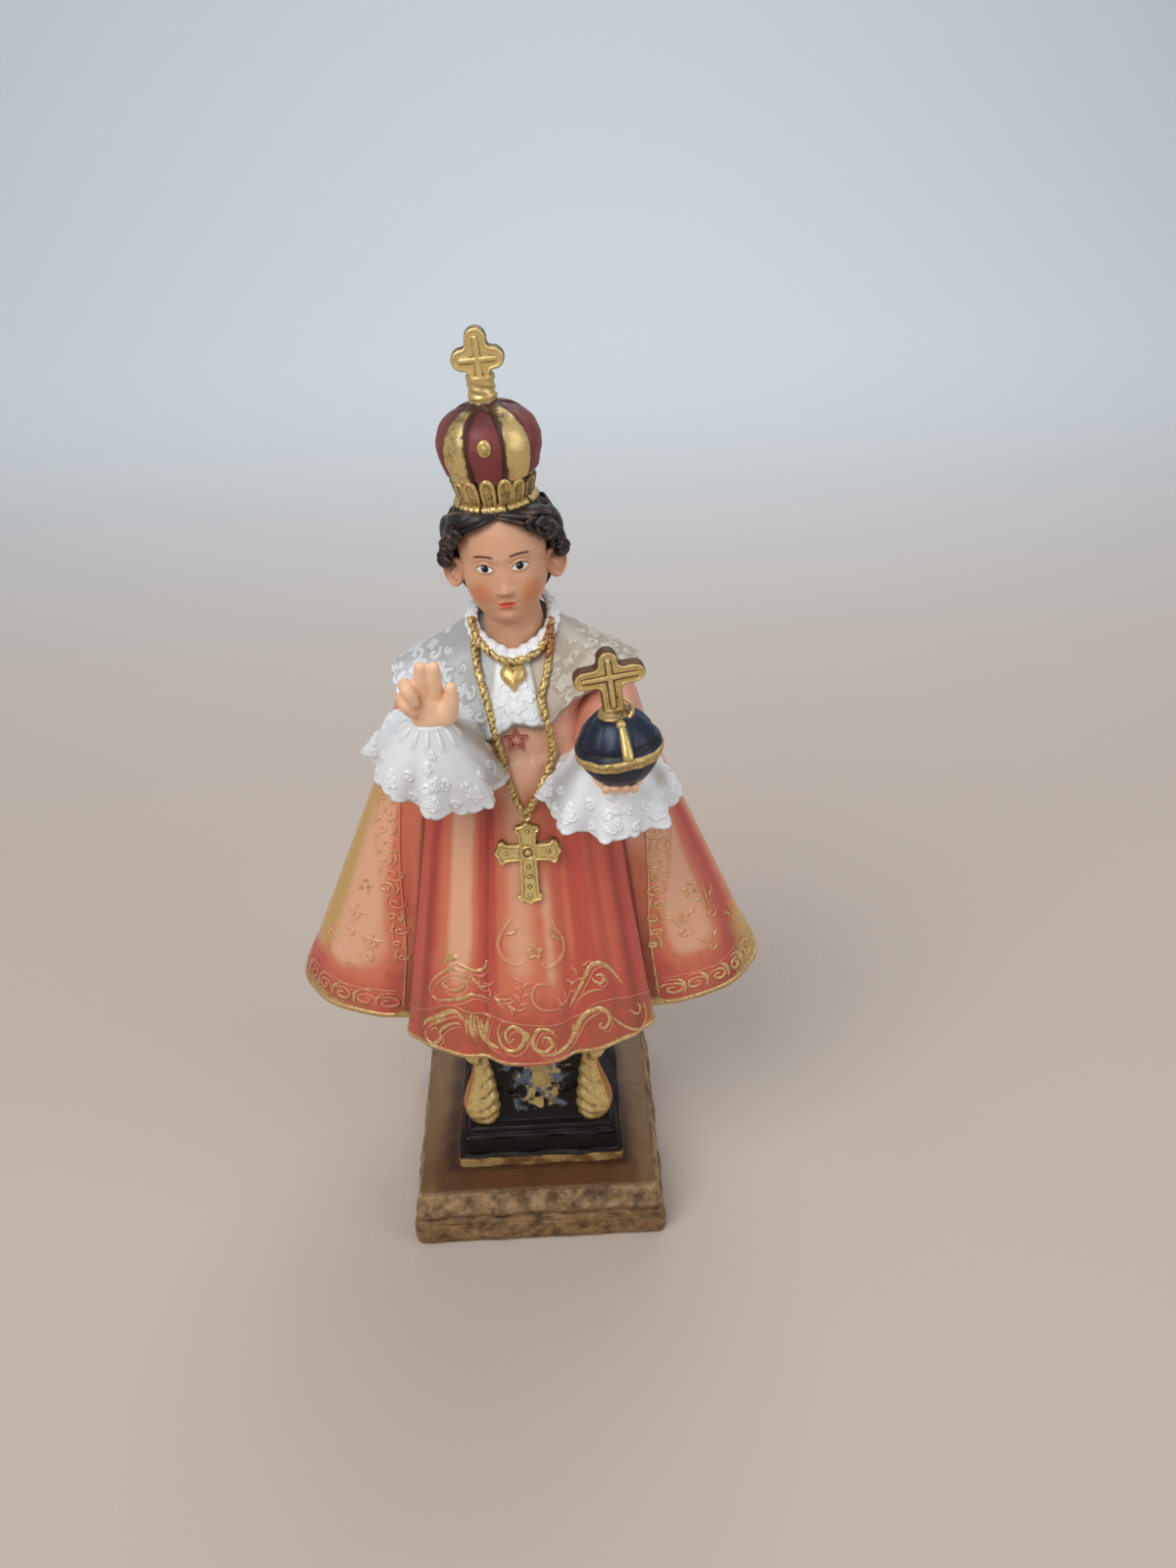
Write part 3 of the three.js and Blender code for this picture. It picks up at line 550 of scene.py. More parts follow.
def base_finish():
    """Brown top, beige-gold relief band and ochre foot, all mottled dark brown, with painted shadow on the
    top round the pedestal's foot.
    """
    f = Finish("base_brown", Specular_IOR_Level=0.4)
    blotch, speck, band, low = f.drift(7, 5, 0.62), f.drift(1.1, 4), f.painted("band"), f.painted("low")
    on_band, on_foot = (
        f.blend(dark, pale, f.shown("relief", start, end, speck * fine, blotch * coarse))
        for dark, pale, start, end, fine, coarse in (
            (rgb(138, 106, 70), rgb(188, 156, 112), 0.2, 1.1, 0.7, 0.6),
            (rgb(134, 98, 56), rgb(180, 146, 98), 0.1, 0.9, 0.6, 0.9),
        )
    )
    mottle = (f.cloudy(4.2, 5, 0.66) - 0.52) * (band + low).between(0, 1)
    colour = f.coats(
        rgb(120, 78, 44),
        # Shade: painted shadow round the pedestal's foot, laid in with the dark brown blotches.
        (rgb(56, 33, 18), (blotch * 1.3 + f.painted("shade")).between(0.05, 0.95)),
        (rgb(154, 120, 78), f.shown("pale", 0.25, 0.95, blotch * 1.3, speck * 0.4)),
        (on_band, band),
        (on_foot, low),
        (rgb(56, 38, 24), (mottle + speck * 0.12).between(-0.16, 0.18) * 0.85),
        (rgb(42, 26, 15), (blotch * 1.6 + speck * 0.3 - 0.2).between(0, 0.6) * 0.6),
    )
    rough, normal = 0.46 + speck * 0.24, f.bumped(f.cloudy(0.8, 5) + f.cloudy(3, 3), 0.12, 0.6)
    return f.done(colour, rough, normal, f.painted("relief") * 0.12)


# Robe: the gown in front and the mantle over its sides and back are one skin

# The hem's radius over degrees from the front, and the mirrored folds as degrees, height and width
HEM_OUTLINE = [
    (0, 31.2), (30, 31.6), (52, 32.8), (60, 30.6), (66, 36), (75, 43.2), (84, 49),
    (92, 53), (100, 50.5), (112, 43.5), (126, 36), (148, 28.5), (180, 25.5),
]
FOLDS = [
    (0, 0.5, 12), (18, -1.2, 5), (31, 0.3, 6), (42, 0.5, 4.5), (52, 0.8, 4), (78, 0.8, 6), (92, -0.8, 4),
    (104, 1.2, 6), (117, -1.8, 6), (131, 1.8, 6.5), (146, -1.6, 6), (161, 1.6, 6.5), (173, -1.2, 5),
]
# Small creases of the cloth: degrees, height, width, and the heights between which they run
CREASES = [
    (-15.5, -0.45, 1.3, 12, 70), (-21, 0.3, 1.6, 16, 66), (-37, -0.35, 1.6, 8, 62), (-47, 0.5, 1.8, 4, 56),
    (-52, -0.4, 1.5, 2, 40), (13.5, 0.25, 1.8, 8, 52), (21, 0.35, 1.5, 14, 60), (26, -0.35, 1.4, 14, 58),
    (36.5, -0.3, 1.4, 8, 56), (47, 0.45, 1.6, 4, 54), (53, -0.35, 1.4, 2, 44), (70, 0.3, 2, 26, 66),
    (84, -0.4, 2, 12, 60), (-72, 0.3, 2, 24, 66), (-86, -0.35, 2, 10, 58), (6.5, -0.15, 1.2, 30, 62),
]
# Degrees over height of the mantle's front edge, and of the line that borders the strip behind it
MANTLE_EDGE = [(0, 60.5), (18, 60.8), (30, 62.6), (46, 66), (60, 69), (84, 72)]
STRIP_EDGE = [(14, 63.5), (19, 64.4), (25, 66.4), (32, 70.5), (41, 76), (49, 83), (58, 90), (84, 104)]


def signed(degrees):
    """The same direction as an angle between -180 and 180."""
    return (degrees + 180) % 360 - 180


def gown_x(z):
    """The robe's axis leans to the figure's left: 1 + 0.015 z."""
    return 1 + 0.015 * z


def fold_height(degrees, z):
    """Sum of bells: the mirrored folds, less deep higher up, and the small creases between their heights."""
    side = np.abs(signed(degrees))
    share = np.clip(z / SHOULDER_Z, 0, 1)
    height = sum(h * bump(side, at, width) for at, h, width in FOLDS) * (1 - 0.75 * share)
    for at, h, width, low, high in CREASES:
        run = soft_step(z, low, low + 10) * soft_step(z, high, high - 12)
        height = height + h * bump(signed(degrees), at + 1.2 * np.sin(z / 13), width) * run
    return height


def mantle_lip(degrees, z):
    """The mantle's front edge lies on the gown: a step of 0.9 that fades away over the next 6 degrees."""
    past = np.abs(signed(degrees)) - through(MANTLE_EDGE, z)
    return 0.9 * soft_step(past, -0.6, 0.7) * np.exp(-((np.maximum(past, 0) / 7) ** 2))


def gown_radius(degrees, z):
    """Hem outline and shoulder ellipse mixed by height, with the folds and the mantle's lip on it."""
    side = np.abs(signed(degrees))
    angle = np.radians(side)
    share = np.clip(z / SHOULDER_Z, 0, 1)
    shoulder = 1 / np.hypot(np.sin(angle) / 19, np.cos(angle) / np.where(side < 90, 16, 12.5))
    return mix(through(HEM_OUTLINE, side), shoulder, share) + fold_height(degrees, z) + mantle_lip(degrees, z)


def robe_point(degrees, z):
    """The point of the robe's outside at degrees and height."""
    return around(gown_radius(degrees, z), degrees, gown_x(z), 0, z)


def robe_normal(degrees, z):
    """The robe's outward normal there, from steps of half a degree and half a millimetre."""
    across = robe_point(degrees + 0.5, z) - robe_point(degrees - 0.5, z)
    return unit(np.cross(across, robe_point(degrees, z + 0.5) - robe_point(degrees, z - 0.5)))


# The robe's airbrush in bells: strength, degrees, width, then any fades as the heights where each is 0 and 1.
# ONE_SIDED bells stand at their own degrees, MIRRORED ones on both sides.
# Many follow the folds: the deep red in valleys is partly painted shade, the peach and amber on ridges partly
# painted highlight.
# The amber at -90 degrees is partly a painted highlight along that wing's outer fold, and the deep red at
# 57.2 degrees and the brown at 60 are painted shade where the mantle's edge lies on the gown.
ONE_SIDED = {
    "ruddy": [
        (-0.66, -30.5, 6, (10, 28)), (-0.34, -2, 8, (10, 28)), (-0.3, 10.5, 2.6, (12, 22), (52, 38)),
        (0.42, -18, 4.5), (0.4, 27, 9), (-0.22, 20.5, 1.5, (10, 28)), (-0.2, 31, 1.7, (10, 28)),
        (-0.42, -77, 8, (7, 15)), (0.3, -92, 9, (18, 8)), (0.24, -66, 4, (18, 30)), (-0.42, 72, 6, (9, 15)),
        (0.5, 84, 4.5), (0.12, 97, 9),
    ],
    "deep": [(0.5, -18, 1.6, (72, 58)), (0.32, 36, 3, (72, 58)), (0.22, 84, 3.5)],
    "amber": [
        (1.15, -90, 8, (6, 16)), (0.4, -80, 10, (38, 55)), (0.28, 94, 8, (66, 44)), (0.9, 91, 7, (20, 10)),
        (0.2, 10.5, 2.4, (12, 22), (52, 38)), (0.2, -34, 3.4, (20, 26), (58, 44)),
    ],
    "gilt": [(0.75, 55, 5, (12, 5)), (0.75, 86, 8, (13, 5)), (0.5, -82, 13, (10, 3)), (0.5, -56, 4, (11, 4))],
}
MIRRORED = {
    "ruddy": [(0.45, 48, 6), (0.2, 63, 3, (44, 30))],
    "deep": [
        (0.55, 45, 3.4, (72, 58)), (1.2, 57.2, 3.6, (72, 58)), (0.3, 86, 16, (20, 5)), (0.5, 117, 6),
        (0.5, 146, 6),
    ],
    "gilt": [(0.35, 61.5, 1.2, (24, 14))],
    "grime": [(0.25, 60, 5)],
}


def robe_paint(degrees, z):
    """The bells of both tables, on smooth steps for front, hem and chest and a cosine for the back,
    whose rose in the back's fold valleys is partly painted shade and whose peach on its ridges is partly
    painted highlight.
    """
    d = signed(degrees)
    side = np.abs(d)
    front, back = soft_step(side, 61, 57), soft_step(side, 104, 116)
    values = {
        "ruddy": 0.4 + 0.18 * front + 0.24 * soft_step(z, 20, 5)
        + 0.4 * back * (0.5 + 0.5 * np.cos(np.radians(12.4 * (side - 117)))),
        "deep": 0.3 * soft_step(z, 7, 1.5) * (1 - front),
        "amber": 0,
        "dusty": soft_step(z, 55, 66) * soft_step(side, 52, 26),
        "gilt": bump(z, 0.5, 0.95) * (1.15 - 0.85 * bump(d, 2, 13)),
        "grime": (0.3 + 0.34 * front) * soft_step(z, 25, 5) - 0.14,
    }
    for along, bells in ((d, ONE_SIDED), (side, MIRRORED)):
        for name, rows in bells.items():
            for strength, middle, width, *fades in rows:
                shown = math.prod(soft_step(z, *fade) for fade in fades)
                values[name] = values[name] + strength * bump(along, middle, width) * shown
    return {name: value + 0 * z for name, value in values.items()}


# Collar, frill and cuffs of lace

# Over degrees: the collar's radius, and the height of its edge on the figure's left and right
COLLAR_RADIUS = [(0, 18.6), (22, 19), (45, 20.5), (70, 23), (90, 23.8), (115, 21), (145, 16.5), (180, 15)]
COLLAR_EDGE_LEFT = [(0, 74.9), (18, 74), (35, 78), (60, 80.5), (90, 78.5), (120, 73), (180, 71)]
COLLAR_EDGE_RIGHT = [(0, 74.9), (22, 70), (40, 69), (62, 74), (90, 78.5), (120, 73), (180, 71)]
# Pleats of the collar: degrees, height and width
PLEATS = [
    (-66, 0.9, 9), (-46, -0.7, 5), (-33, 0.6, 6), (-19, -0.7, 3.2), (18, -0.7, 3.2), (30, 0.6, 6),
    (44, -0.7, 5), (60, 0.9, 8), (82, -0.6, 7), (100, 0.7, 7), (124, -0.6, 7), (146, 0.6, 7),
    (-84, -0.6, 7), (-104, 0.7, 7), (-128, -0.6, 7), (-150, 0.6, 7), (172, -0.5, 6),
]


def neckline(degrees):
    """Radius and height of the neck opening, which dips in front and ends there in a soft V."""
    front = (1 + np.cos(np.radians(degrees))) / 2
    notch = 1.4 * np.exp(-((np.abs(signed(degrees)) / 20) ** 1.2))
    return 6.3 + 2.8 * front**2, 89.4 - 5.4 * front**1.6 - notch


def collar_edge(degrees):
    """Radius and height of the collar's outer edge."""
    d = signed(degrees)
    side = np.abs(d)
    height = np.where(d < 0, through(COLLAR_EDGE_RIGHT, side), through(COLLAR_EDGE_LEFT, side))
    return through(COLLAR_RADIUS, side), height


def collar_point(degrees, share, drop=0.0, inset=0.0):
    """The collar's outside: neckline and edge mixed by share, with pleats that deepen outwards."""
    neck_radius, neck_z = neckline(degrees)
    edge_radius, edge_z = collar_edge(degrees)
    pleat = sum(h * bump(signed(degrees), at, width) for at, h, width in PLEATS) * share**1.5
    radius = mix(neck_radius, edge_radius, share) - inset + 0.5 * pleat
    z = mix(neck_z, edge_z, np.maximum(share, 0) ** 1.1) - drop + 0.7 * pleat
    return around(radius, degrees, gown_x(z), 0, z)


def petals(u, v, flowers):
    """Raised thread round each flower's place: a ring exp(-((distance - r)/w)²) for each petal, and a dot."""
    height = np.zeros(u.shape)
    for at_u, at_v, size, count, turn in flowers:
        near = np.nonzero((np.abs(u - at_u) < 2 * size) & (np.abs(v - at_v) < 2 * size))
        x, y = u[near] - at_u, v[near] - at_v
        raised = bump(np.hypot(x, y), 0, 0.28 * size)
        for k in range(count):
            angle = turn + TURN * k / count
            far = np.hypot(x - 0.66 * size * math.sin(angle), y - 0.66 * size * math.cos(angle))
            raised = np.maximum(raised, bump(far, 0.3 * size, 0.13 * size) + 0.35 * bump(far, 0, 0.2 * size))
        height[near] = np.maximum(height[near], raised)
    return height


def curls(u, v, scrolls, width):
    """Raised thread along spirals of radius size·(1 - s): exp(-(distance/width)²) from their points."""
    height = np.zeros(u.shape)
    share = np.linspace(0, 0.88, 30)
    for at_u, at_v, size, turns, start, hand in scrolls:
        near = np.nonzero((np.abs(u - at_u) < 1.4 * size) & (np.abs(v - at_v) < 1.4 * size))
        angle = start + hand * TURN * turns * share
        x = at_u + size * (1 - share) * np.sin(angle)
        y = at_v + size * (1 - share) * np.cos(angle)
        far = np.hypot(u[near][:, None] - x, v[near][:, None] - y).min(1)
        height[near] = np.maximum(height[near], bump(far, 0, width))
    return height


def scallops(degrees, teeth):
    """Round teeth along an edge, uneven in width: |sin|^0.6 of a turn that runs a little fast and slow."""
    uneven = degrees + 2.2 * np.sin(np.radians(degrees) * 5 + 1) + 1.2 * np.sin(np.radians(degrees) * 11)
    return np.abs(np.sin(np.radians(uneven) * teeth / 2)) ** 0.6


def lined(outside, lining, **paint):
    """A skin of lace: its lining's rings, dull and darker as painted shade, from the innermost out, and then
    its outside.
    """
    # The underside is painted duller and darker, without thread: painted shade.
    dull = {"thread": 0.0, "hollow": 0.6, "wash": 0.6, "grey": 0.5}
    rings = np.ones((len(lining), outside.shape[1]))
    rows = np.concatenate([*lining[::-1], outside[::-1]])
    paint = {name: np.concatenate([dull[name] * rings, value[::-1]]) for name, value in paint.items()}
    return skin(rows, **paint)


# One repeat of the collar's curls: place across, place down, size, turns, start and hand
COLLAR_CURLS = [
    (3.2, 13.4, 1.7, 0.9, 0, 1), (-0.2, 17.1, 1.2, 0.8, 2, -1), (3, 17, 1, 0.8, 4, 1),
    (-0.4, 9.6, 1.5, 0.9, 1, 1), (1.8, 6.4, 1.1, 0.8, 3, -1),
]


def lace_collar():
    """The collar as a closed skin: out over the shoulders, round its toothed edge and back underneath."""
    degrees, share = full_turn(480), rows_between(0, 1, 76)
    side, tooth = signed(degrees), scallops(degrees, 44)
    top = collar_point(degrees, share * (1 + 0.04 * (tooth - 0.6) * soft_step(share, 0.55, 1)))
    u, v = np.broadcast_arrays(side * 0.31, share * 19)
    flowers = [(0, 7.8, 1.7, 5, 0), (-3, 11.4, 1.7, 5, 0.5), (3.1, 11.6, 1.6, 5, 0.2)]
    flowers += [(0.2, 14.6, 1.9, 6, 0.3), (-2.8, 16.6, 1.2, 5, 0.7), (3, 16.8, 1.2, 5, 0.4)]
    scrolls = [(-2.2, 8.8, 1.2, 1.3, 1, 1), (2.4, 8.6, 1.2, 1.3, 5, -1), (0.3, 11.4, 1.0, 1.3, 2, 1)]
    for i, at in enumerate((-50, -43, -36, -29.5, -23, -16.5, -10.5, 10.5, 16.5, 23, 29.5, 36, 43, 50)):
        hand = 1 if i % 2 else -1
        flowers += [(at, 13.6, 1.9, 5, at), (at + 3.4, 9.6, 1.3, 4, at + 1)]
        scrolls += [(at + x, *curl, at + start, hand * way) for x, *curl, start, way in COLLAR_CURLS]
    thread = np.maximum(petals(u, v, flowers), 0.95 * curls(u, v, scrolls, 0.4))
    thread = np.maximum(thread, 0.8 * bump(share, 0.972 + 0.012 * tooth, 0.016)) * soft_step(share, 0.1, 0.2)
    flank = soft_step(np.abs(side + 1), 13, 21)
    hollow = 0.6 * bump(thread, 0.2, 0.13) * soft_step(share, 0.12, 0.2) * (0.3 + 0.35 * flank)
    hollow += 0.6 * (1 - tooth) * bump(share, 0.97, 0.04)
    # Painted shade in the pleat valleys either side of the bib.
    hollow += 0.3 * bump(side, -18.5, 2.2) + 0.3 * bump(side, 17.5, 2)
    top = top - normals_of(top) * (thread * (0.44 - 0.1 * flank))[..., None]
    edge = 1 + 0.02 * (tooth - 0.6)
    under = [collar_point(degrees, edge, 0.5, 0.1), collar_point(degrees, edge, 1.2, 0.5)]
    under += [collar_point(degrees, part, 1.7, 0.9) for part in (0.97, 0.8, 0.55, 0.2)]
    # Beige over the figure's left side, grey over its right and back: partly beige and grey washes, partly
    # painted shade where the collar slopes away.
    wash = 0.95 * flank * soft_step(side, -4, 4) + 0.12 * flank
    grey = 0.95 - 0.62 * bump(side, -64, 24) * soft_step(share, 0.35, 0.8)
    grey = grey * flank * soft_step(side, 2, -6) + 0.35 * soft_step(np.abs(side), 110, 150)
    grey += 0.3 * flank * soft_step(side, 20, 80) * soft_step(share, 0.5, 0.2)
    return lined(top, under, thread=thread, hollow=hollow, wash=wash + 0 * share, grey=grey)


def lace_frill():
    """The frill at the neck: a flat ring of gathered lace that slopes outwards, set with small curls."""
    degrees, roll = full_turn(480), np.linspace(0, 1, 24, endpoint=False)[:, None] * TURN
    radius, z = neckline(degrees)
    side = signed(degrees)
    gather = np.cos(np.radians(degrees) * 26 + 1.4 * np.sin(np.radians(degrees) * 4))
    u, v = np.broadcast_arrays(side * 0.165, roll * 1.25)
    places = [(at, 2.0 + 0.5 * (k % 2), 0.78, 1.2, at, 1) for k, at in enumerate(np.arange(-29, 30, 1.6))]
    places += [(at + 0.8, 1.1, 0.5, 1, at, -1) for at in np.arange(-29, 30, 1.6)]
    buds = [(place[0] + 0.8, 3.1, 0.62, 4, place[0]) for place in places[::2]]
    bead = np.maximum(curls(u, v, places, 0.22), 0.8 * petals(u, v, buds))
    along = 1.4 * np.cos(roll) * (1 + 0.09 * gather * (roll > 0))
    thick = (0.62 + 0.26 * bead * (np.sin(roll) > 0)) * np.sin(roll)
    thick += 0.2 * gather * (0.6 + 0.4 * np.cos(roll))
    out = radius + 0.5 + 0.81 * along + 0.58 * thick
    up = z + 1.15 - 0.58 * along + 0.81 * thick
    points = around(out, degrees, gown_x(up), 0, up)
    points = np.concatenate([points, points[:1]])
    thread = np.concatenate([bead, bead[:1]])
    # Beige, stronger at the sides and back, is partly painted shade; the brown-grey in the valleys of the
    # gathers is painted shade.
    wash = np.broadcast_to(0.12 + 0.5 * soft_step(np.abs(side), 60, 120), thread.shape)
    hollow = np.broadcast_to(0.25 * np.clip(-gather, 0, 1), thread.shape) + 0.45 * bump(thread, 0.25, 0.14)
    return skin(points, first=False, last=False, thread=thread, wash=wash, hollow=hollow)


# Cuffs: wrist, its radius, hem, its radius, how far the hem's front and left drop, then the beige bell and
# the grey one as strength, degrees, width and the shares along the cuff between which each fades
RIGHT_CUFF = (
    (-12, -28, 81.5), 3.4, (-12.6, -19.5, 67.8), 12.2, 3.6, 3.4,
    (0.75, 100, 36, 0.9, 0.97), (0.4, -92, 32, 1, 2),
)
LEFT_CUFF = (
    (19.4, -25.5, 73.5), 4.2, (19, -21.6, 60.4), 12.7, 1.6, 0.3,
    (0.6, 75, 26, 0.5, 0.8), (0.7, -72, 26, 0.7, 1.4),
)


def lace_cuff(shape, turn):
    """A bell of lace: its radius grows as share^1.25 from the wrist, gathered in folds, its hem toothed."""
    wrist, wrist_radius, hem, hem_radius, front_drop, left_drop, beige, ash = shape
    degrees, share = full_turn(380), rows_between(0, 1, 76)
    angle, side, tooth = np.radians(degrees), signed(degrees), scallops(degrees + 20 * turn, 27)

    def at(part, inset=0.0, lift=0.0):
        """The bell's points this part of the way down: cosine folds, the hem's drop, moved inwards and up."""
        gather = 1.05 * np.cos(8 * angle + 0.5 * np.sin(3 * angle + turn)) + 0.55 * np.cos(13 * angle + turn)
        gather = (gather + 0.3 * np.cos(5 * angle - turn)) * part
        radius = mix(wrist_radius, hem_radius, part**1.25) + part * gather - inset
        sag = front_drop * np.cos(angle) + left_drop * np.sin(angle)
        x, y, z = (mix(a, b, part) for a, b in zip(wrist, hem))
        return around(radius + 1.6 * np.sin(part * math.pi), degrees, x, y, z - sag * part + lift)

    outside = at(share * (1 + 0.042 * (tooth - 0.6) * soft_step(share, 0.6, 1)))
    u, v = np.broadcast_arrays(side * 0.21, share * 16)
    apart, close = np.arange(-34.5, 37, 8.6), np.arange(-34.5, 37, 4.3)
    flowers = [(x, 12.9 - 0.5 * (k % 2), 1.5, 5, x) for k, x in enumerate(apart)]
    flowers += [(1.2, 9.4, 1.3, 5, 0.6), (-0.8, 6.6, 1.1, 5, 0.2)]
    scrolls = [(x + 3.4, 9.6 + k % 2, 1.15, 1.3, x, 2 * (k % 2) - 1) for k, x in enumerate(close)]
    scrolls += [(x + 4.3, 13.8, 1.0, 1.2, x + 2, 1) for x in apart[:-1]] + [(0.6, 4.4, 0.9, 1.2, 1, 1)]
    drop = np.exp(-((np.maximum(v - 1.9, 0) / 1.5) ** 2 + (np.minimum(v - 1.4, 0) / 0.9) ** 2))
    drop = np.clip(np.cos(14 * angle + turn), 0, 1) ** 1.3 * drop
    thread = np.maximum(petals(u, v, flowers), 0.95 * curls(u, v, scrolls, 0.32))
    thread = np.maximum(thread, 0.45 * bump(share, 0.975, 0.013) * tooth)
    hollow = 0.45 * bump(thread, 0.22, 0.12) * soft_step(share, 0.15, 0.25)
    hollow += 0.6 * (1 - tooth) * bump(share, 0.985, 0.03) + 0.3 * bump(drop, 0.2, 0.16) * (v < 4.4)
    # Painted shade in the valleys of the gathered folds.
    hollow += 0.26 * soft_step(share, 0.25, 0.8) * np.clip(-np.cos(8 * angle), 0, 1)
    outside = outside - normals_of(outside) * (0.45 * thread + 0.55 * drop)[..., None]
    edge = 1 + 0.024 * (tooth - 0.6)
    inside = [at(edge * 0.998, 0.5, 0.1), at(edge * 0.99, 1.2, 0.5), at(0.93, 2.6, 1.4), at(0.86, 4.6, 2.2)]
    # Beige and grey bells on the cuff's sides: partly beige and grey washes, partly painted shade where the
    # bell turns from the front.
    wash, grey = (
        strength * bump(side, middle, width) * soft_step(share, high, low)
        for strength, middle, width, low, high in (beige, ash)
    )
    thread = np.maximum(thread, 0.8 * drop)
    return lined(outside, inside, thread=thread, hollow=hollow, wash=wash + 0.04, grey=grey)


def sleeve(points, radii):
    """A cloth sleeve: a bar with soft folds round it."""
    return tube(path(points, 40), radii, sides=40, flutes=5, depth=0.05, ruddy=0.75, deep=0.4, dusty=0.45)


# Scrollwork laid on the robe


def on_robe(degrees, z, width, height, gilding, taper, sides=8, **over):
    """A raised line on the robe through points at degrees and height, painted as the robe is beneath it."""
    normals = robe_normal(degrees, z)
    under = {name: value[:, None] for name, value in robe_paint(degrees, z).items()}
    places = robe_point(degrees, z) - 0.08 * normals
    return ridge(places, normals, width, height, taper, sides, gilding=gilding, **{**under, **over})


def stroke(width, gilding, *places, height=0.46):
    """A brushed line through (degrees, height) places, thickest in its middle."""
    run = path([(d, z, 0) for d, z in places], 9 + 3 * len(places))
    return on_robe(run[:, 0], run[:, 1], 1.22 * width, height, gilding, 0.62)


def shadowed(rows):
    """Each row's stroke, and beside each broad one a lower ungilded leaf, moved along the tier and down."""
    forms = [stroke(*row) for row in rows]
    for width, _, *places in rows:
        if width >= 0.9:
            down = min(1.1, min(z for _, z in places) - 0.8)
            forms.append(stroke(0.7 * width, 0.05, *((d + 1.3, z - down) for d, z in places), height=0.34))
    return forms


def line(places, width, height, gilding, count):
    """An even raised line through (degrees, height) places."""
    run = path([(d, z, 0) for d, z in places], count)
    return on_robe(run[:, 0], run[:, 1], width, height, gilding, 0.08, 6)


def radius_at(degrees, z):
    """The robe's radius at one place, as one number."""
    return float(gown_radius(np.array(degrees), np.array(z)))


def volute(degrees, z, size, turns, start, hand, gilding, width):
    """A spiral of radius size·(1 - 0.86 s) that winds in from a start angle."""
    share = np.linspace(0, 1, 30)
    angle = math.radians(start) + hand * TURN * turns * share
    radius = size * (1 - 0.86 * share)
    across = math.degrees(1) / radius_at(degrees, z) * radius * np.sin(angle)
    return on_robe(degrees + across, z + 0.9 * radius * np.cos(angle), width, 0.5, gilding, 0.4)


def star(degrees, z, size, gilding, **over):
    """A raised five-pointed star: ten corners round its place, with a ridge run round them."""
    corner = np.arange(11) % 10
    reach = size * np.where(corner % 2, 0.42, 1.0)
    x, y = reach * np.sin(TURN * corner / 10), reach * np.cos(TURN * corner / 10)
    x, y = (np.interp(np.linspace(0, 10, 61), np.arange(11), values) for values in (x, y))
    across = math.degrees(1) / radius_at(degrees, z) * x
    return on_robe(degrees + across, z + y, 0.6, 0.45, gilding, 0.05, **over)


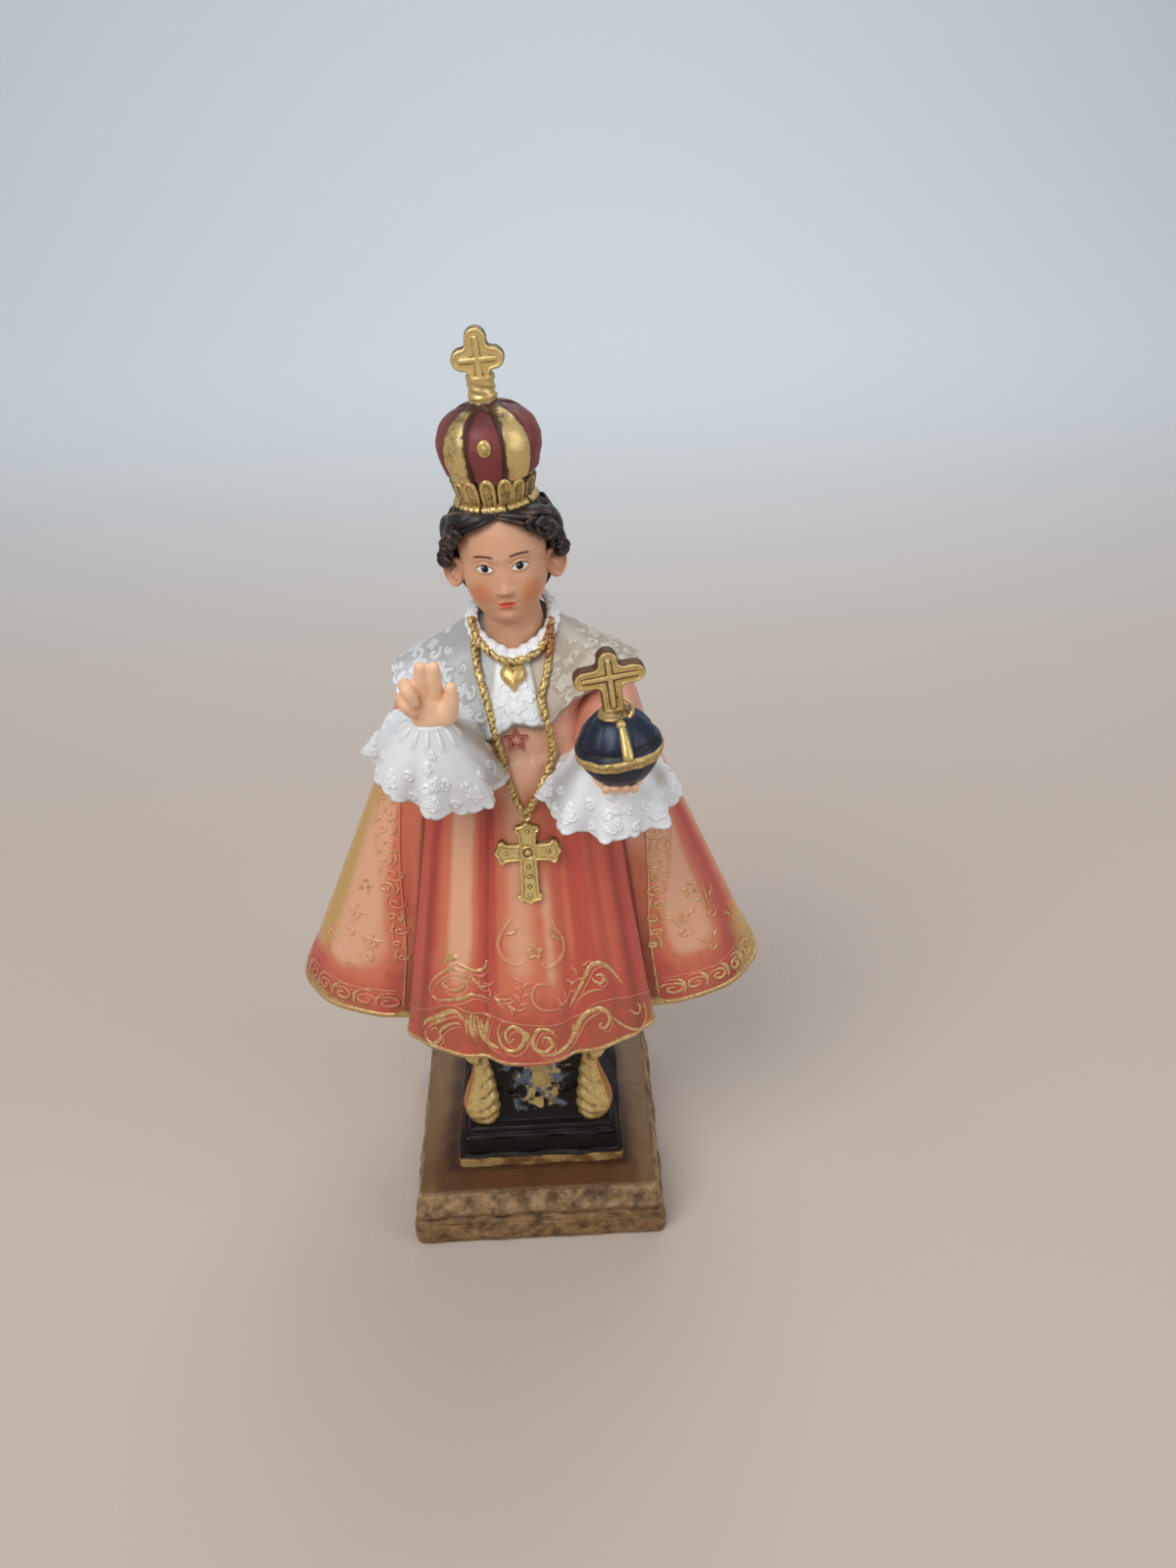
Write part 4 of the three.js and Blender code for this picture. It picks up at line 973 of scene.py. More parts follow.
# Ornament strokes: width, gilding, then degrees and height of each point
GOWN_STROKES = [
    (1.3, 0.9, (-45, 4.4), (-43.5, 6.2), (-38.5, 8.4), (-32, 10.8), (-29, 10.4), (-27, 9.4)),
    (0.9, 0.7, (-44, 3.6), (-42.5, 2), (-39.5, 1.6), (-36.5, 3.6), (-37, 4.8), (-34.5, 6.8), (-30.5, 8.2),
     (-28, 8)), (1.1, 0.9, (-24, 11.2), (-24.5, 9.2), (-24, 7.2), (-23, 4.8)),
    (1.2, 0.9, (-22, 10.4), (-21, 8), (-19.5, 5.6), (-17, 4.2), (-12, 3.8)),
    (0.8, 0.6, (-19.5, 11), (-17.5, 10.8), (-15.5, 10.4)), (1, 0.8, (-17.5, 10), (-18, 8), (-18.5, 5.4)),
    (1, 0.8, (-12, 9.8), (-13, 8), (-12, 5.6), (-9.5, 4), (-6, 4), (-3, 5.6), (-2, 7.6), (-4, 9.2),
     (-7, 9.6), (-9.5, 8.2), (-9.5, 6.4), (-8, 5.8), (-6.5, 6.8)),
    (1, 0.9, (-2.5, 8.8), (-1, 7.6), (-2.5, 5.6)),
    (1, 0.8, (9.5, 6.4), (9, 7.6), (6.5, 8.6), (3.5, 8.8), (1.5, 7.4), (1, 5.2), (3.5, 3.6), (6.5, 3.6),
     (8.5, 4.8), (7.5, 6.2), (5.5, 6.8), (4.5, 5.8), (5.5, 5.2)),
    (1.2, 0.9, (1.5, 4.8), (4, 2.8), (8, 2.4), (11.5, 2.6), (15.5, 3.6), (18.5, 5.6), (21, 8.4),
     (24.5, 10), (28.5, 10.4), (32, 8.8), (32.5, 6.8), (31, 5.4), (29, 5.4), (28, 6.4), (29.5, 6.8)),
    (1, 0.9, (18, 7.6), (18, 6), (16.5, 4.2)), (0.7, 0.5, (-25.8, 10.6), (-26, 8.2), (-25.2, 5.8)),
    (0.7, 0.5, (-23, 10.6), (-22.6, 8), (-21.2, 5.2)), (0.7, 0.6, (-20.4, 9.8), (-19.4, 7.6), (-17.4, 5.6)),
    (0.7, 0.6, (-42, 5.8), (-38.5, 7.2), (-33.5, 9.2)), (0.7, 0.5, (-41, 4.6), (-39, 5.6), (-37.6, 4.6)),
    (0.8, 0.6, (33, 8), (36.5, 5), (41, 2.4), (45.5, 1.2), (48, 2.4), (49, 4.6), (48.5, 6.4)),
    (0.8, 0.5, (41.5, 7.2), (43.5, 5.6), (45.5, 5.2), (46.5, 6.4), (45.5, 7.4)),
    (1, 0.5, (-41, 12.8), (-43, 14.6), (-40.5, 17.6), (-34.5, 20.4), (-29.5, 20.8), (-27, 18.8),
     (-28.5, 17), (-31.5, 16), (-35.5, 15.6), (-37.5, 16.4), (-35, 18), (-31.5, 18.4)),
    (1, 0.6, (-42, 13.2), (-38.5, 12.4), (-32.5, 13.6), (-28, 14.6), (-24.5, 15.6), (-20.5, 15.2),
     (-16.5, 14.4)), (1.4, 0.9, (-37.5, 21.2), (-35, 22.6), (-30.5, 24)),
    (1, 0.8, (-32.5, 22.4), (-28.5, 22), (-25, 21.4), (-21.5, 21.2), (-19, 22), (-18, 23.6)),
    (0.9, 0.6, (-25, 20.6), (-23, 18.8), (-20.5, 17.6), (-17, 17.6)),
    (0.7, 0.3, (-13.5, 16), (-10, 15.8), (-6.5, 16.2)),
    (0.9, 0.8, (-15.5, 15.6), (-12.5, 15.2), (-10, 14.2)), (0.8, 0.6, (-9, 14.6), (-7, 14.2), (-4.5, 13.2)),
    (0.8, 0.4, (10, 18.2), (6.5, 19.2), (3, 18.8), (1.5, 16.8), (2.5, 14.8), (5.5, 13.4), (10, 12.8),
     (13.5, 12.4)), (0.8, 0.3, (12, 15.4), (13.5, 13.8), (16, 14), (18, 15.6)),
    (1.1, 0.8, (17, 11.6), (20, 14.2), (23, 17.2), (25.5, 19.2), (28.5, 20.8), (32.5, 20.4), (37, 17.6),
     (40, 14)), (0.9, 0.7, (27, 18), (28.5, 16.8), (31, 16), (32.5, 16.8), (31.5, 18), (29, 18)),
    (0.8, 0.3, (24, 21.2), (27, 21.6), (29, 21)),
    (0.8, 0.5, (20.5, 12.8), (23, 14.2), (26.5, 15), (32, 14.4)), (0.8, 0.4, (18, 17.4), (20.5, 17.4)),
]


def garland(gilding, *places):
    """Small leaves set along a path of (degrees, height) places, turning out to either side of it in turn."""
    run = path([(0.5 * d, z, 0) for d, z in places], 6 * len(places))[:, :2]
    forms = []
    for i in range(0, len(run) - 2, 3):
        ahead = unit(run[i + 2] - run[i])
        beside = np.array([-ahead[1], ahead[0]]) * (1 if i % 2 else -1)
        leaf = [run[i], run[i] + 1.3 * ahead + 0.7 * beside, run[i] + 1.5 * ahead + 1.9 * beside]
        forms.append(stroke(0.8, gilding, *((2 * x, z) for x, z in leaf), height=0.42))
    return forms


# The line between the gown's two tiers, and the C-scrolls above them as strokes
TIER_LINE = [
    (-57, 6.6), (-50, 7.8), (-44, 9), (-33, 12), (-25, 11.4), (-12, 10.8), (3, 9.8), (13, 9.1), (20.7, 9.5),
    (27, 11.7), (34.7, 11.3), (44, 9.9), (57, 7.6),
]
C_SCROLLS = [
    (1.1, 0.3, (-3.4, 35.1), (-7.6, 33), (-11, 30.6), (-12.4, 27.9), (-10.4, 25.7), (-6.4, 24.2), (-2.4, 24),
     (-0.6, 25.2)),
    (0.7, 0.5, (-3.4, 32.6), (-4.6, 31.2), (-7.4, 30.8), (-10.6, 30.5)),
    (0.7, 0.6, (10.4, 31.6), (12.1, 29.4), (15.4, 28.4)),
    (1.1, 0.4, (12.6, 33), (13.4, 31), (15.6, 29.3), (17, 27.3), (16.4, 24.9), (13, 23.3), (9, 22.6),
     (6.6, 23.4), (8, 24.4)),
]


def gown_scrolls():
    """The gown's two tiers of scrolls and the line between, C-scrolls and a star above, the hem's gold."""
    hem = line([(d, 0.9) for d in (-57, -40, 0, 40, 57)], 0.8, 0.35, 0.4, 120)
    forms = [hem, line(TIER_LINE, 0.6, 0.3, 0.2, 120)]
    forms += garland(0.15, (-25, 21.6), (-20, 18.4), (-15, 16.6), (-9.5, 14.8), (-4, 13.2))
    forms += garland(0.1, (-4.5, 14), (-2.6, 16.8), (-2.2, 20))
    forms += garland(0.2, (12, 13.2), (17.5, 15.4), (22, 19.6))
    return [*forms, *shadowed(GOWN_STROKES), *(stroke(*row) for row in C_SCROLLS), star(3.7, 26.6, 1.7, 0.8)]


def spray(degrees, z, size, lean, gilding):
    """Three curved leaves fanned up from one place, and a small curl beneath them."""
    forms = [volute(degrees, z - 0.9 * size, 0.9 * size, 1.2, 40 * lean, lean, gilding, 0.7)]
    for turn in (-2.4, 0.4, 3.0):
        bend = (degrees + 0.7 * turn * lean, z + 1.5 * size)
        tip = (degrees + 1.1 * turn * size, z + (3.2 - 0.4 * abs(turn)) * size)
        forms.append(stroke(0.75, gilding, (degrees + 0.4 * turn, z), bend, tip))
    return forms


# Sprays on the mantle: degrees, height and size
RIGHT_SPRAYS = [(-77.5, 21.5, 1.9), (-71, 16.5, 1.6), (-85, 14, 1.2)]
LEFT_SPRAYS = [(70.5, 19, 1.5), (79.5, 20.5, 1.7), (76, 12.5, 1.1), (87, 14, 1.0)]


def mantle_scrolls(hand):
    """One side of the mantle: edge lines, vines down its front strip and along its hem, sprays and stars."""
    gilding = 0.25 if hand < 0 else 0.58
    inner = [(hand * (float(through(MANTLE_EDGE, z)) + 0.8), z) for z in (72, 64, 56, 46, 34, 24, 16, 8, 3)]
    outer = [(hand * float(through(STRIP_EDGE, z)), z) for z in (70, 60, 50, 42, 34, 27, 21, 17, 15)]
    turns = np.linspace(62.5, 179, 40)
    top = 7.4 - 0.6 * bump(turns, 74, 6) + 1.0 * bump(turns, 86, 5)
    forms = [
        line(inner, 0.7, 0.4, gilding, 100),
        line(outer, 0.6, 0.3, 0.15, 80),
        line([(hand * d, 1.1) for d in turns], 0.9, 0.4, 0.6, 180),
        line([(hand * d, z) for d, z in zip(turns, top)], 0.6, 0.3, 0.15, 180),
    ]
    for i, z in enumerate(np.arange(62.5, 16, -3.3)):
        flip = 1 if i % 2 else -1
        edge, strip = (float(through(pairs, z)) for pairs in (MANTLE_EDGE, STRIP_EDGE))
        wide, middle = strip - edge, (edge + strip) / 2 + 0.5
        size = min(2.1, 0.006 * wide * radius_at(middle, z) + 0.25)
        at = hand * (middle + 0.16 * wide * flip)
        forms.append(volute(at, z, size, 1.4, 90 + 60 * flip, flip * hand, gilding, 0.8))
        leaf = ((0.22, 2.1), (0.36, 0.3), (0.2, -1.5))
        leaf = ((hand * (middle - reach * wide * flip), z + up) for reach, up in leaf)
        forms.append(stroke(0.75, gilding + 0.1, *leaf))
    for i, d in enumerate(np.arange(64.5, 178, 5.4)):
        flip = 1 if i % 2 else -1
        forms.append(volute(hand * d, 4.2, 1.8, 1.4, 90 * flip + 20, -flip, gilding - 0.05, 0.95))
        for width, gilt, leaf in (
            (1.0, gilding + 0.1, ((1.4, 6.6), (2.7, 4.8), (2.2, 2.4))),
            (0.7, 0.2, ((-1.6, 6.4), (0.2, 6.7), (1.8, 6.0))),
        ):
            forms.append(stroke(width, gilt, *((hand * (d + across), z) for across, z in leaf)))
    for row in LEFT_SPRAYS if hand > 0 else RIGHT_SPRAYS:
        forms += spray(*row, hand, gilding)
    forms.append(star(*((-76.4, 31.5) if hand < 0 else (75.7, 26.9)), 1.8, 0.6))
    forms += [star(hand * d, z, 1.5, 0.45) for d in (104, 131, 161) for z in (22, 42)]
    for d in (118, 146, 172):
        forms += spray(hand * d, 14.5, 1.4, hand, 0.45)
    return forms


# Hands


def hand_piece(name, forms, finish):
    """Fingers and palm grown into one skin: remeshed at 0.24 mm and smoothed."""
    thing = piece(name, forms, finish)
    grown = thing.modifiers.new("grown_together", "REMESH")
    grown.mode, grown.voxel_size, grown.use_smooth_shade = "VOXEL", 0.00024, True
    softened = thing.modifiers.new("softened", "SMOOTH")
    softened.factor, softened.iterations = 0.5, 5


def finger(points, radii):
    """A finger: a bar along a smooth path."""
    return tube(path(points, 22), radii, sides=16)


# The raised hand's fingers: points from the knuckle out, and radii
RAISED_FINGERS = [
    ([(-12.4, -28.9, 86), (-12.4, -30.2, 89.6), (-12.1, -31, 93.1)], [1.45, 1.35, 1.3, 1.05]),
    ([(-10.4, -29, 86), (-10.1, -30.2, 89.6), (-9.9, -31, 93)], [1.45, 1.35, 1.3, 1.05]),
    (
        [(-14.3, -29, 86.6), (-15, -30.6, 89.8), (-14.4, -32.2, 89.2), (-13.7, -31.9, 87.2)],
        [1.3, 1.25, 1.2, 1],
    ),
    (
        [(-14.9, -28.9, 84.6), (-15.7, -30.4, 87.2), (-15.2, -31.9, 86.6), (-14.4, -31.6, 84.9)],
        [1.2, 1.2, 1.1, 0.9],
    ),
    ([(-8.6, -29.2, 83), (-7.6, -30.4, 86.2), (-7.4, -31, 89.1)], [1.8, 1.5, 1.3, 1]),
]


def raised_hand():
    """Palm forward, two fingers up, two folded and the thumb out."""
    bones = path([(-11.8, -26.5, 76), (-11.7, -27.6, 80), (-11.4, -28.5, 83)], 16)
    wrist = tube(bones, [2.6, 2.3, 2.6], sides=20)
    palm = [
        ball((-11.3, -28.9, 84.6), (3.9, 2.0, 4.1)),
        ball((-9.1, -29.6, 83.8), (2.0, 1.7, 2.8)),
        ball((-13.2, -29.3, 83.7), (1.9, 1.6, 3.0)),
    ]
    return [*palm, wrist, *(finger(*row) for row in RAISED_FINGERS)]


ORB = np.array([20.2, -34, 78.2])


def orb_hand():
    """A hand under the orb, its fingers curled up round the front."""
    curled = [[(s, 2, -7.9), (1.05 * s, -2.2, -7.4), (1.05 * s, -3.8, -6.0)] for s in (-2.3, -0.8, 0.8, 2.3)]
    fingers = [finger(ORB + points, [1.0, 0.95, 0.85, 0.7]) for points in curled]
    wrist = tube(path(ORB + [(-0.3, 10, -6), (0, 6, -7), (0, 3, -7.6)], 14), [3.2, 3.1, 3.0], sides=20)
    thumb = finger(ORB + [(3.4, 5, -7.4), (4.8, 3.4, -6.4), (5.6, 2.0, -5.0)], [1.5, 1.3, 1.1, 0.8])
    return [ball(ORB + (0, 3.2, -7.6), (4.8, 4.8, 2.6)), wrist, thumb, *fingers]


# Head: drawn upright about the neck and then tilted

NECK_JOINT, HEAD_TILT = (2.3, -1.5, 88.0), -3.3
SKULL = np.array([
    (1.2, 0.8, 5.2, -3.4), (1.7, 2.3, 6.6, -2.0), (2.4, 3.6, 7.4, -0.6), (3.4, 4.9, 8.0, 0.9),
    (6, 6.7, 8.5, 3.9), (9, 7.7, 8.8, 6.5), (12.5, 7.95, 8.9, 8), (16.5, 8.1, 8.8, 8.6), (20, 7.4, 7.8, 8),
    (22, 6.0, 6.4, 6.6), (23, 4.5, 5, 5),
])
# The face's thirds: brows, nose and chin are a third of the face apart, and the eyes are halfway up the head.
CHIN, THIRD = 2.0, 6.3
BROW_Z, NOSE_Z, EYE_Z = CHIN + 2 * THIRD, CHIN + THIRD, CHIN + 1.76 * THIRD
EYE_X, EYE_HALF = 3.15, 1.58
MOUTH_Z = NOSE_Z - THIRD / 3
# Bells of the face's relief, alike on both sides: strength, place across, width, height and width up:
# brow, socket, nose tip, nostril wing, nostril, groove, mouth corner, hollow below the lip, chin and cheek
FACE_BELLS = [
    (0.28, 2.9, 2.6, BROW_Z + 0.2, 0.9), (-0.6, EYE_X - 0.15, 2, EYE_Z + 0.2, 1.35),
    (0.5, 0, 0.95, NOSE_Z + 0.8, 0.8), (0.42, 1.1, 0.55, NOSE_Z + 0.45, 0.6),
    (-0.2, 0.62, 0.3, NOSE_Z - 0.12, 0.25), (-0.12, 0, 0.35, NOSE_Z - 0.9, 0.6),
    (-0.12, 2.1, 0.4, MOUTH_Z + 0.3, 0.4), (-0.2, 0, 1.7, MOUTH_Z - 1.4, 0.5),
    (0.4, 0, 1.6, CHIN + 1.5, 1), (0.6, 4.1, 2.4, NOSE_Z - 0.4, 2.6),
]


def face_relief(x, z):
    """How far the face stands out: bells for brow, sockets, eyes, lids, nose, lips, chin and cheeks."""
    side = np.abs(x)
    q = (side - EYE_X) / (EYE_HALF + 0.12)
    within = soft_step(1.12 - np.abs(q), 0, 0.3)
    arc = np.clip(1 - q * q, 0, 1)
    nose = np.clip((BROW_Z - 0.7 - z) / (BROW_Z - NOSE_Z - 1.2), 0, 1)
    out = sum(high * bump(side, at, wide) * bump(z, up, tall) for high, at, wide, up, tall in FACE_BELLS)
    out += 0.6 * np.exp(-((((side - EYE_X) / 1.5) ** 2 + ((z - EYE_Z) / 0.95) ** 2) ** 1.6))
    out += within * 0.3 * bump(z, EYE_Z + 0.92 * arc + 0.12, 0.2)
    out += within * 0.14 * bump(z, EYE_Z - 0.62 * arc - 0.1, 0.2)
    out -= within * 0.12 * bump(z, EYE_Z + 1.05 * arc + 0.5, 0.16)
    wing = bump(x, 0, 0.85 + 0.2 * nose) * soft_step(z, NOSE_Z - 0.7, NOSE_Z + 0.7)
    out += (0.12 + 1.0 * nose**1.5) * nose**0.35 * wing
    bow = MOUTH_Z + 0.42 + 0.12 * bump(side, 0.5, 0.3) - 0.1 * (side / 1.6) ** 2
    out += 0.34 * bump(z, bow, 0.36) * np.exp(-((x / 1.75) ** 4))
    out += 0.42 * bump(z, MOUTH_Z - 0.45, 0.38) * np.exp(-((x / 1.4) ** 4))
    return out - 0.26 * bump(z, MOUTH_Z + 0.11 * side**2, 0.13) * np.exp(-((x / 1.95) ** 6))


def face_paint(x, z):
    """Edges of the eyes, lashes, brows and lips as smooth steps of x and z, and soft bells for the blush."""
    side = np.abs(x)
    q = (side - EYE_X) / EYE_HALF
    arc = np.clip(1 - q * q, 0, 1)
    upper, lower = EYE_Z + 0.82 * arc, EYE_Z - 0.6 * arc
    open_eye = soft_step(upper - z, -0.03, 0.08) * soft_step(z - lower, -0.03, 0.08) * (np.abs(q) < 1)
    far = np.hypot(side - EYE_X + 0.03, z - EYE_Z - 0.12)
    iris = soft_step(far, 0.74, 0.64) * open_eye
    lash = soft_step(np.abs(z - upper - 0.04), 0.2, 0.08) * soft_step(1.1 - np.abs(q), 0, 0.25)
    brow_z = BROW_Z + 0.45 + 0.42 * (1 - ((side - 3.1) / 2.2) ** 2)
    brow = soft_step(np.abs(z - brow_z), 0.3, 0.12) * soft_step(2.1 - np.abs(side - 3.2), 0, 0.8)
    top = MOUTH_Z + 0.72 + 0.12 * bump(side, 0.5, 0.3) - 0.14 * side**2
    bottom = MOUTH_Z - 0.8 + 0.34 * side**2
    lips = soft_step(top - z, -0.05, 0.15) * soft_step(z - bottom, -0.05, 0.2) * (side < 1.9)
    glint = soft_step(np.hypot(x - np.sign(x) * EYE_X + 0.24, z - EYE_Z - 0.4), 0.13, 0.07)
    blush = bump(side, 4.6, 2.4) * bump(z, NOSE_Z, 2.4) + 0.5 * bump(x, 0, 1.2) * bump(z, NOSE_Z + 0.6, 1.3)
    blush += 0.4 * bump(x, 0, 2) * bump(z, CHIN + 0.6, 1.2)
    # Painted shade in the lid creases, at the nostrils and along the mouth line.
    hollow = 0.45 * bump(z, EYE_Z + 1.08 * arc + 0.42, 0.14) * (np.abs(q) < 0.95)
    hollow += 0.25 * bump(side, 0.62, 0.32) * bump(z, NOSE_Z - 0.14, 0.24)
    hollow += 0.6 * bump(z, MOUTH_Z + 0.11 * side**2, 0.08) * np.exp(-((x / 1.9) ** 6))
    return {
        "eye_white": open_eye, "eye_dark": np.maximum(iris, lash), "brow": brow, "lips": lips * 0.9,
        "glint": glint * iris, "blush": blush, "hollow": hollow,
    }


def head_skin():
    """Rings of the skull, dense over the face, pushed out by the face's relief in front."""
    angle = np.radians(np.r_[np.linspace(-62, 62, 160), np.linspace(62, 298, 36)[1:-1]])[None]
    z = np.r_[np.linspace(1.2, 3.6, 14)[:-1], np.linspace(3.6, 16.5, 118)[:-1], np.linspace(16.5, 23, 12)]
    z = z[:, None]
    half, front, back = (through(SKULL[:, (0, k)], z) for k in (1, 2, 3))
    x = half * np.sin(angle)
    facing = soft_step(np.cos(angle), 0.25, 0.6)
    y = (back - front) / 2 - (front + back) / 2 * np.cos(angle) - face_relief(x, z) * facing
    paint = {name: value * (facing > 0.02) for name, value in face_paint(x, z).items()}
    return skin(spots(x, y, z), **paint)


def ear(side):
    """An ear: a flat ellipsoid whose outer face has a rolled rim, a hollow inside it and a lobe below."""
    u, v = ring_angles(48)[None], math.pi * (np.arange(28) + 0.5)[:, None] / 28
    rim, face = np.sin(v), np.cos(v) > 0
    lobe = bump(np.cos(u), 1, 0.6)
    depth = 1.1 * np.cos(v) * (1 - 0.2 * face) - 1.1 * bump(rim, 0.45, 0.33) * face * (1 - 0.6 * lobe)
    depth += 0.6 * bump(rim, 0.86, 0.12) * (1 - 0.5 * lobe)
    depth += 0.4 * bump(rim, 0.5, 0.1) * face * (np.sin(u) > 0.2)
    tall = -3.0 * rim * np.cos(u) * (1 - 0.04 * np.cos(u))
    ring = spots(depth * side, side * 2.35 * rim * np.sin(u) * (1 + 0.24 * tall / 3), tall)
    # Hollow: painted shade in the ear's hollow, inside its rim.
    blush, hollow = 0.16 + 0.3 * bump(rim, 0.86, 0.2), 0.36 * bump(rim, 0.5, 0.24) * face
    form = skin(ring if side > 0 else ring[:, ::-1], blush=blush, hollow=hollow)
    return form.turned(side * -56, "Z").turned(side * -6, "Y").moved(side * 9.2, -1.2, 10.4)


# The hair's height, half width and reach to the back
HAIR_CAP = [
    (4.2, 4.6, 5.4), (5, 6.2, 7.4), (8.5, 8.6, 9.6), (13, 9.4, 10.4), (17, 9.4, 10.2), (20, 8.8, 9.2),
    (22.8, 7.4, 7.6),
]


def hair_cap():
    """The hair behind the face: rings grooved into wavy strands, kept back from the face below the crown."""
    z, angle = rows_between(4.2, 22.8, 60), ring_angles(180)[None]
    half, back = (through([(row[0], row[k]) for row in HAIR_CAP], z) for k in (1, 2))
    front = mix(1.0, 7.5, soft_step(z, 20.6, 21.9))
    strand = np.cos(20 * angle + 1.6 * np.sin(z * 0.7) + 0.8 * np.sin(3 * angle))
    lump = 0.5 * np.cos(9 * angle + 1.3 * np.sin(z * 0.55)) * np.cos(z * 0.9 + 2 * np.sin(2 * angle))
    y = -np.cos(angle) * np.where(np.cos(angle) < 0, back, front)
    swell = 1 + 0.018 * strand + 0.03 * lump
    return skin(spots(half * swell * np.sin(angle), y * swell, z), crest=0.5 * strand + 0.35)


def lock(side, wide, *points):
    """A lock of hair: a flat fluted ribbon along a smooth path, thin at its ends, that lies on the head."""
    run = path([(side * x, y, z) for x, y, z in points], 24)
    radii = [0.5 * wide, wide, 1.05 * wide, 0.9 * wide, 0.45 * wide]
    return tube(run, radii, 16, run.mean(0) - (0, 1, 13), 0.55, 3, 0.09)


def whorl(side, x, y, z, size, turn, lean=0.5, thick=0.8):
    """A coiled lock lying on the temple: a spiral that winds in over one and a quarter turns."""
    share = np.linspace(0, 1, 26)
    angle = turn + TURN * 1.25 * share
    radius = size * (1 - 0.82 * share)
    across = side * (x + lean * radius * np.sin(angle) + 0.45 * share)
    points = np.stack([across, y + 0.8 * radius * np.sin(angle), z + radius * np.cos(angle)], 1)
    return tube(points, [0.5 * thick, 1.2 * thick, 1.1 * thick, 0.8 * thick], 12, flutes=3, depth=0.1)


# Locks of each side as width and points, and the coils of each side and of the fringe as whorl takes them
SIDE_LOCKS = [
    (0.75, (0.1, -7.3, 22), (2.6, -7.7, 21.5), (4.9, -7.2, 20.4), (6.8, -6.1, 19)),
    (0.9, (0.5, -7.1, 22.4), (3.6, -7.4, 22.1), (6.4, -6.2, 21.2), (8.2, -4.4, 19.4)),
    (1.2, (2.2, -6.8, 22.3), (5.8, -6.1, 22.1), (8, -3.9, 21.4), (9.4, -1.4, 19.8)),
    (0.95, (6.3, -6.5, 19.8), (7.9, -5.2, 18.2), (8.7, -3.5, 16.6), (8.9, -2.2, 14.6)),
    (1.5, (7.2, -5, 20.6), (9, -2.8, 18.8), (9.9, -0.6, 16.6), (9.9, 1.2, 14.2)),
    (1.6, (8.4, -2.6, 20.9), (9.9, 0.2, 18.9), (10.3, 2.6, 15.4), (9.8, 3.6, 11.8)),
    (1.4, (9.4, 0.8, 16.2), (10.5, 2.2, 13.4), (10.3, 3.4, 10.4), (9, 4, 7.8)),
    (1.7, (8.4, 1.8, 20.8), (9.9, 4.4, 16.5), (9.7, 6.2, 11.5), (8, 6.6, 7)),
]
SIDE_COILS = [
    (8.6, -4.6, 18, 1.5, 2.2), (9.8, -1.9, 15.2, 1.6, 4), (10.2, 3, 12.8, 1.5, 0.4),
    (10.2, -1.5, 13.1, 1.5, 5.2, 0.85),
]
FRINGE_COILS = [
    (1, 5.6, -7.1, 20.3, 1.2, 0.5, 0.9, 0.6), (1, 7.5, -6.1, 19.4, 1.5, 2.5, 0.8, 0.7),
    (-1, 7.2, -6.4, 19.4, 1.3, 0.5, 0.8, 0.65),
]


def hair_locks():
    """The fringe swept back from the parting, coils at the temples, long waves down the sides and back."""
    forms = []
    for side in (-1, 1):
        forms += [lock(side, *row) for row in SIDE_LOCKS] + [whorl(side, *row) for row in SIDE_COILS]
    forms += [whorl(*row) for row in FRINGE_COILS]
    for i, degrees in enumerate(range(118, 243, 12)):
        wave = 3.2 * (1 if i % 2 else -1)
        rows = [(20.8, 9.2, 0), (17, 10.3, wave), (13, 10.6, -wave), (9, 9.8, wave), (5.2, 8.0, -0.4 * wave)]
        forms.append(lock(1, 1.7, *(tuple(around(r, degrees + d, 0, 0.6, z)) for z, r, d in rows)))
    return forms


# Crown

# The crown's height and radius, and how far its arches are turned
CROWN_PROFILE = [
    (21, 6.8), (22.4, 7), (23.2, 7.4), (23.9, 7), (24.6, 7.15), (26.4, 7.6), (30.4, 8.75), (32.6, 9.2),
    (34.6, 9), (36.9, 7.9), (38.5, 5.8), (39.5, 2.9), (40.6, 2.3), (43.2, 2.35), (44.4, 2.4),
]
CROWN_TURN, ARCH_AT = -2.0, 37.5


def crown_run(count):
    """Heights and radii along the crown's side, evenly spaced, and the way out of it as radius and height."""
    run = path([(r, 0, z) for z, r in CROWN_PROFILE], count)
    step = unit(np.gradient(run, axis=0))
    return run[:, 2], run[:, 0], step[:, 2], -step[:, 0]


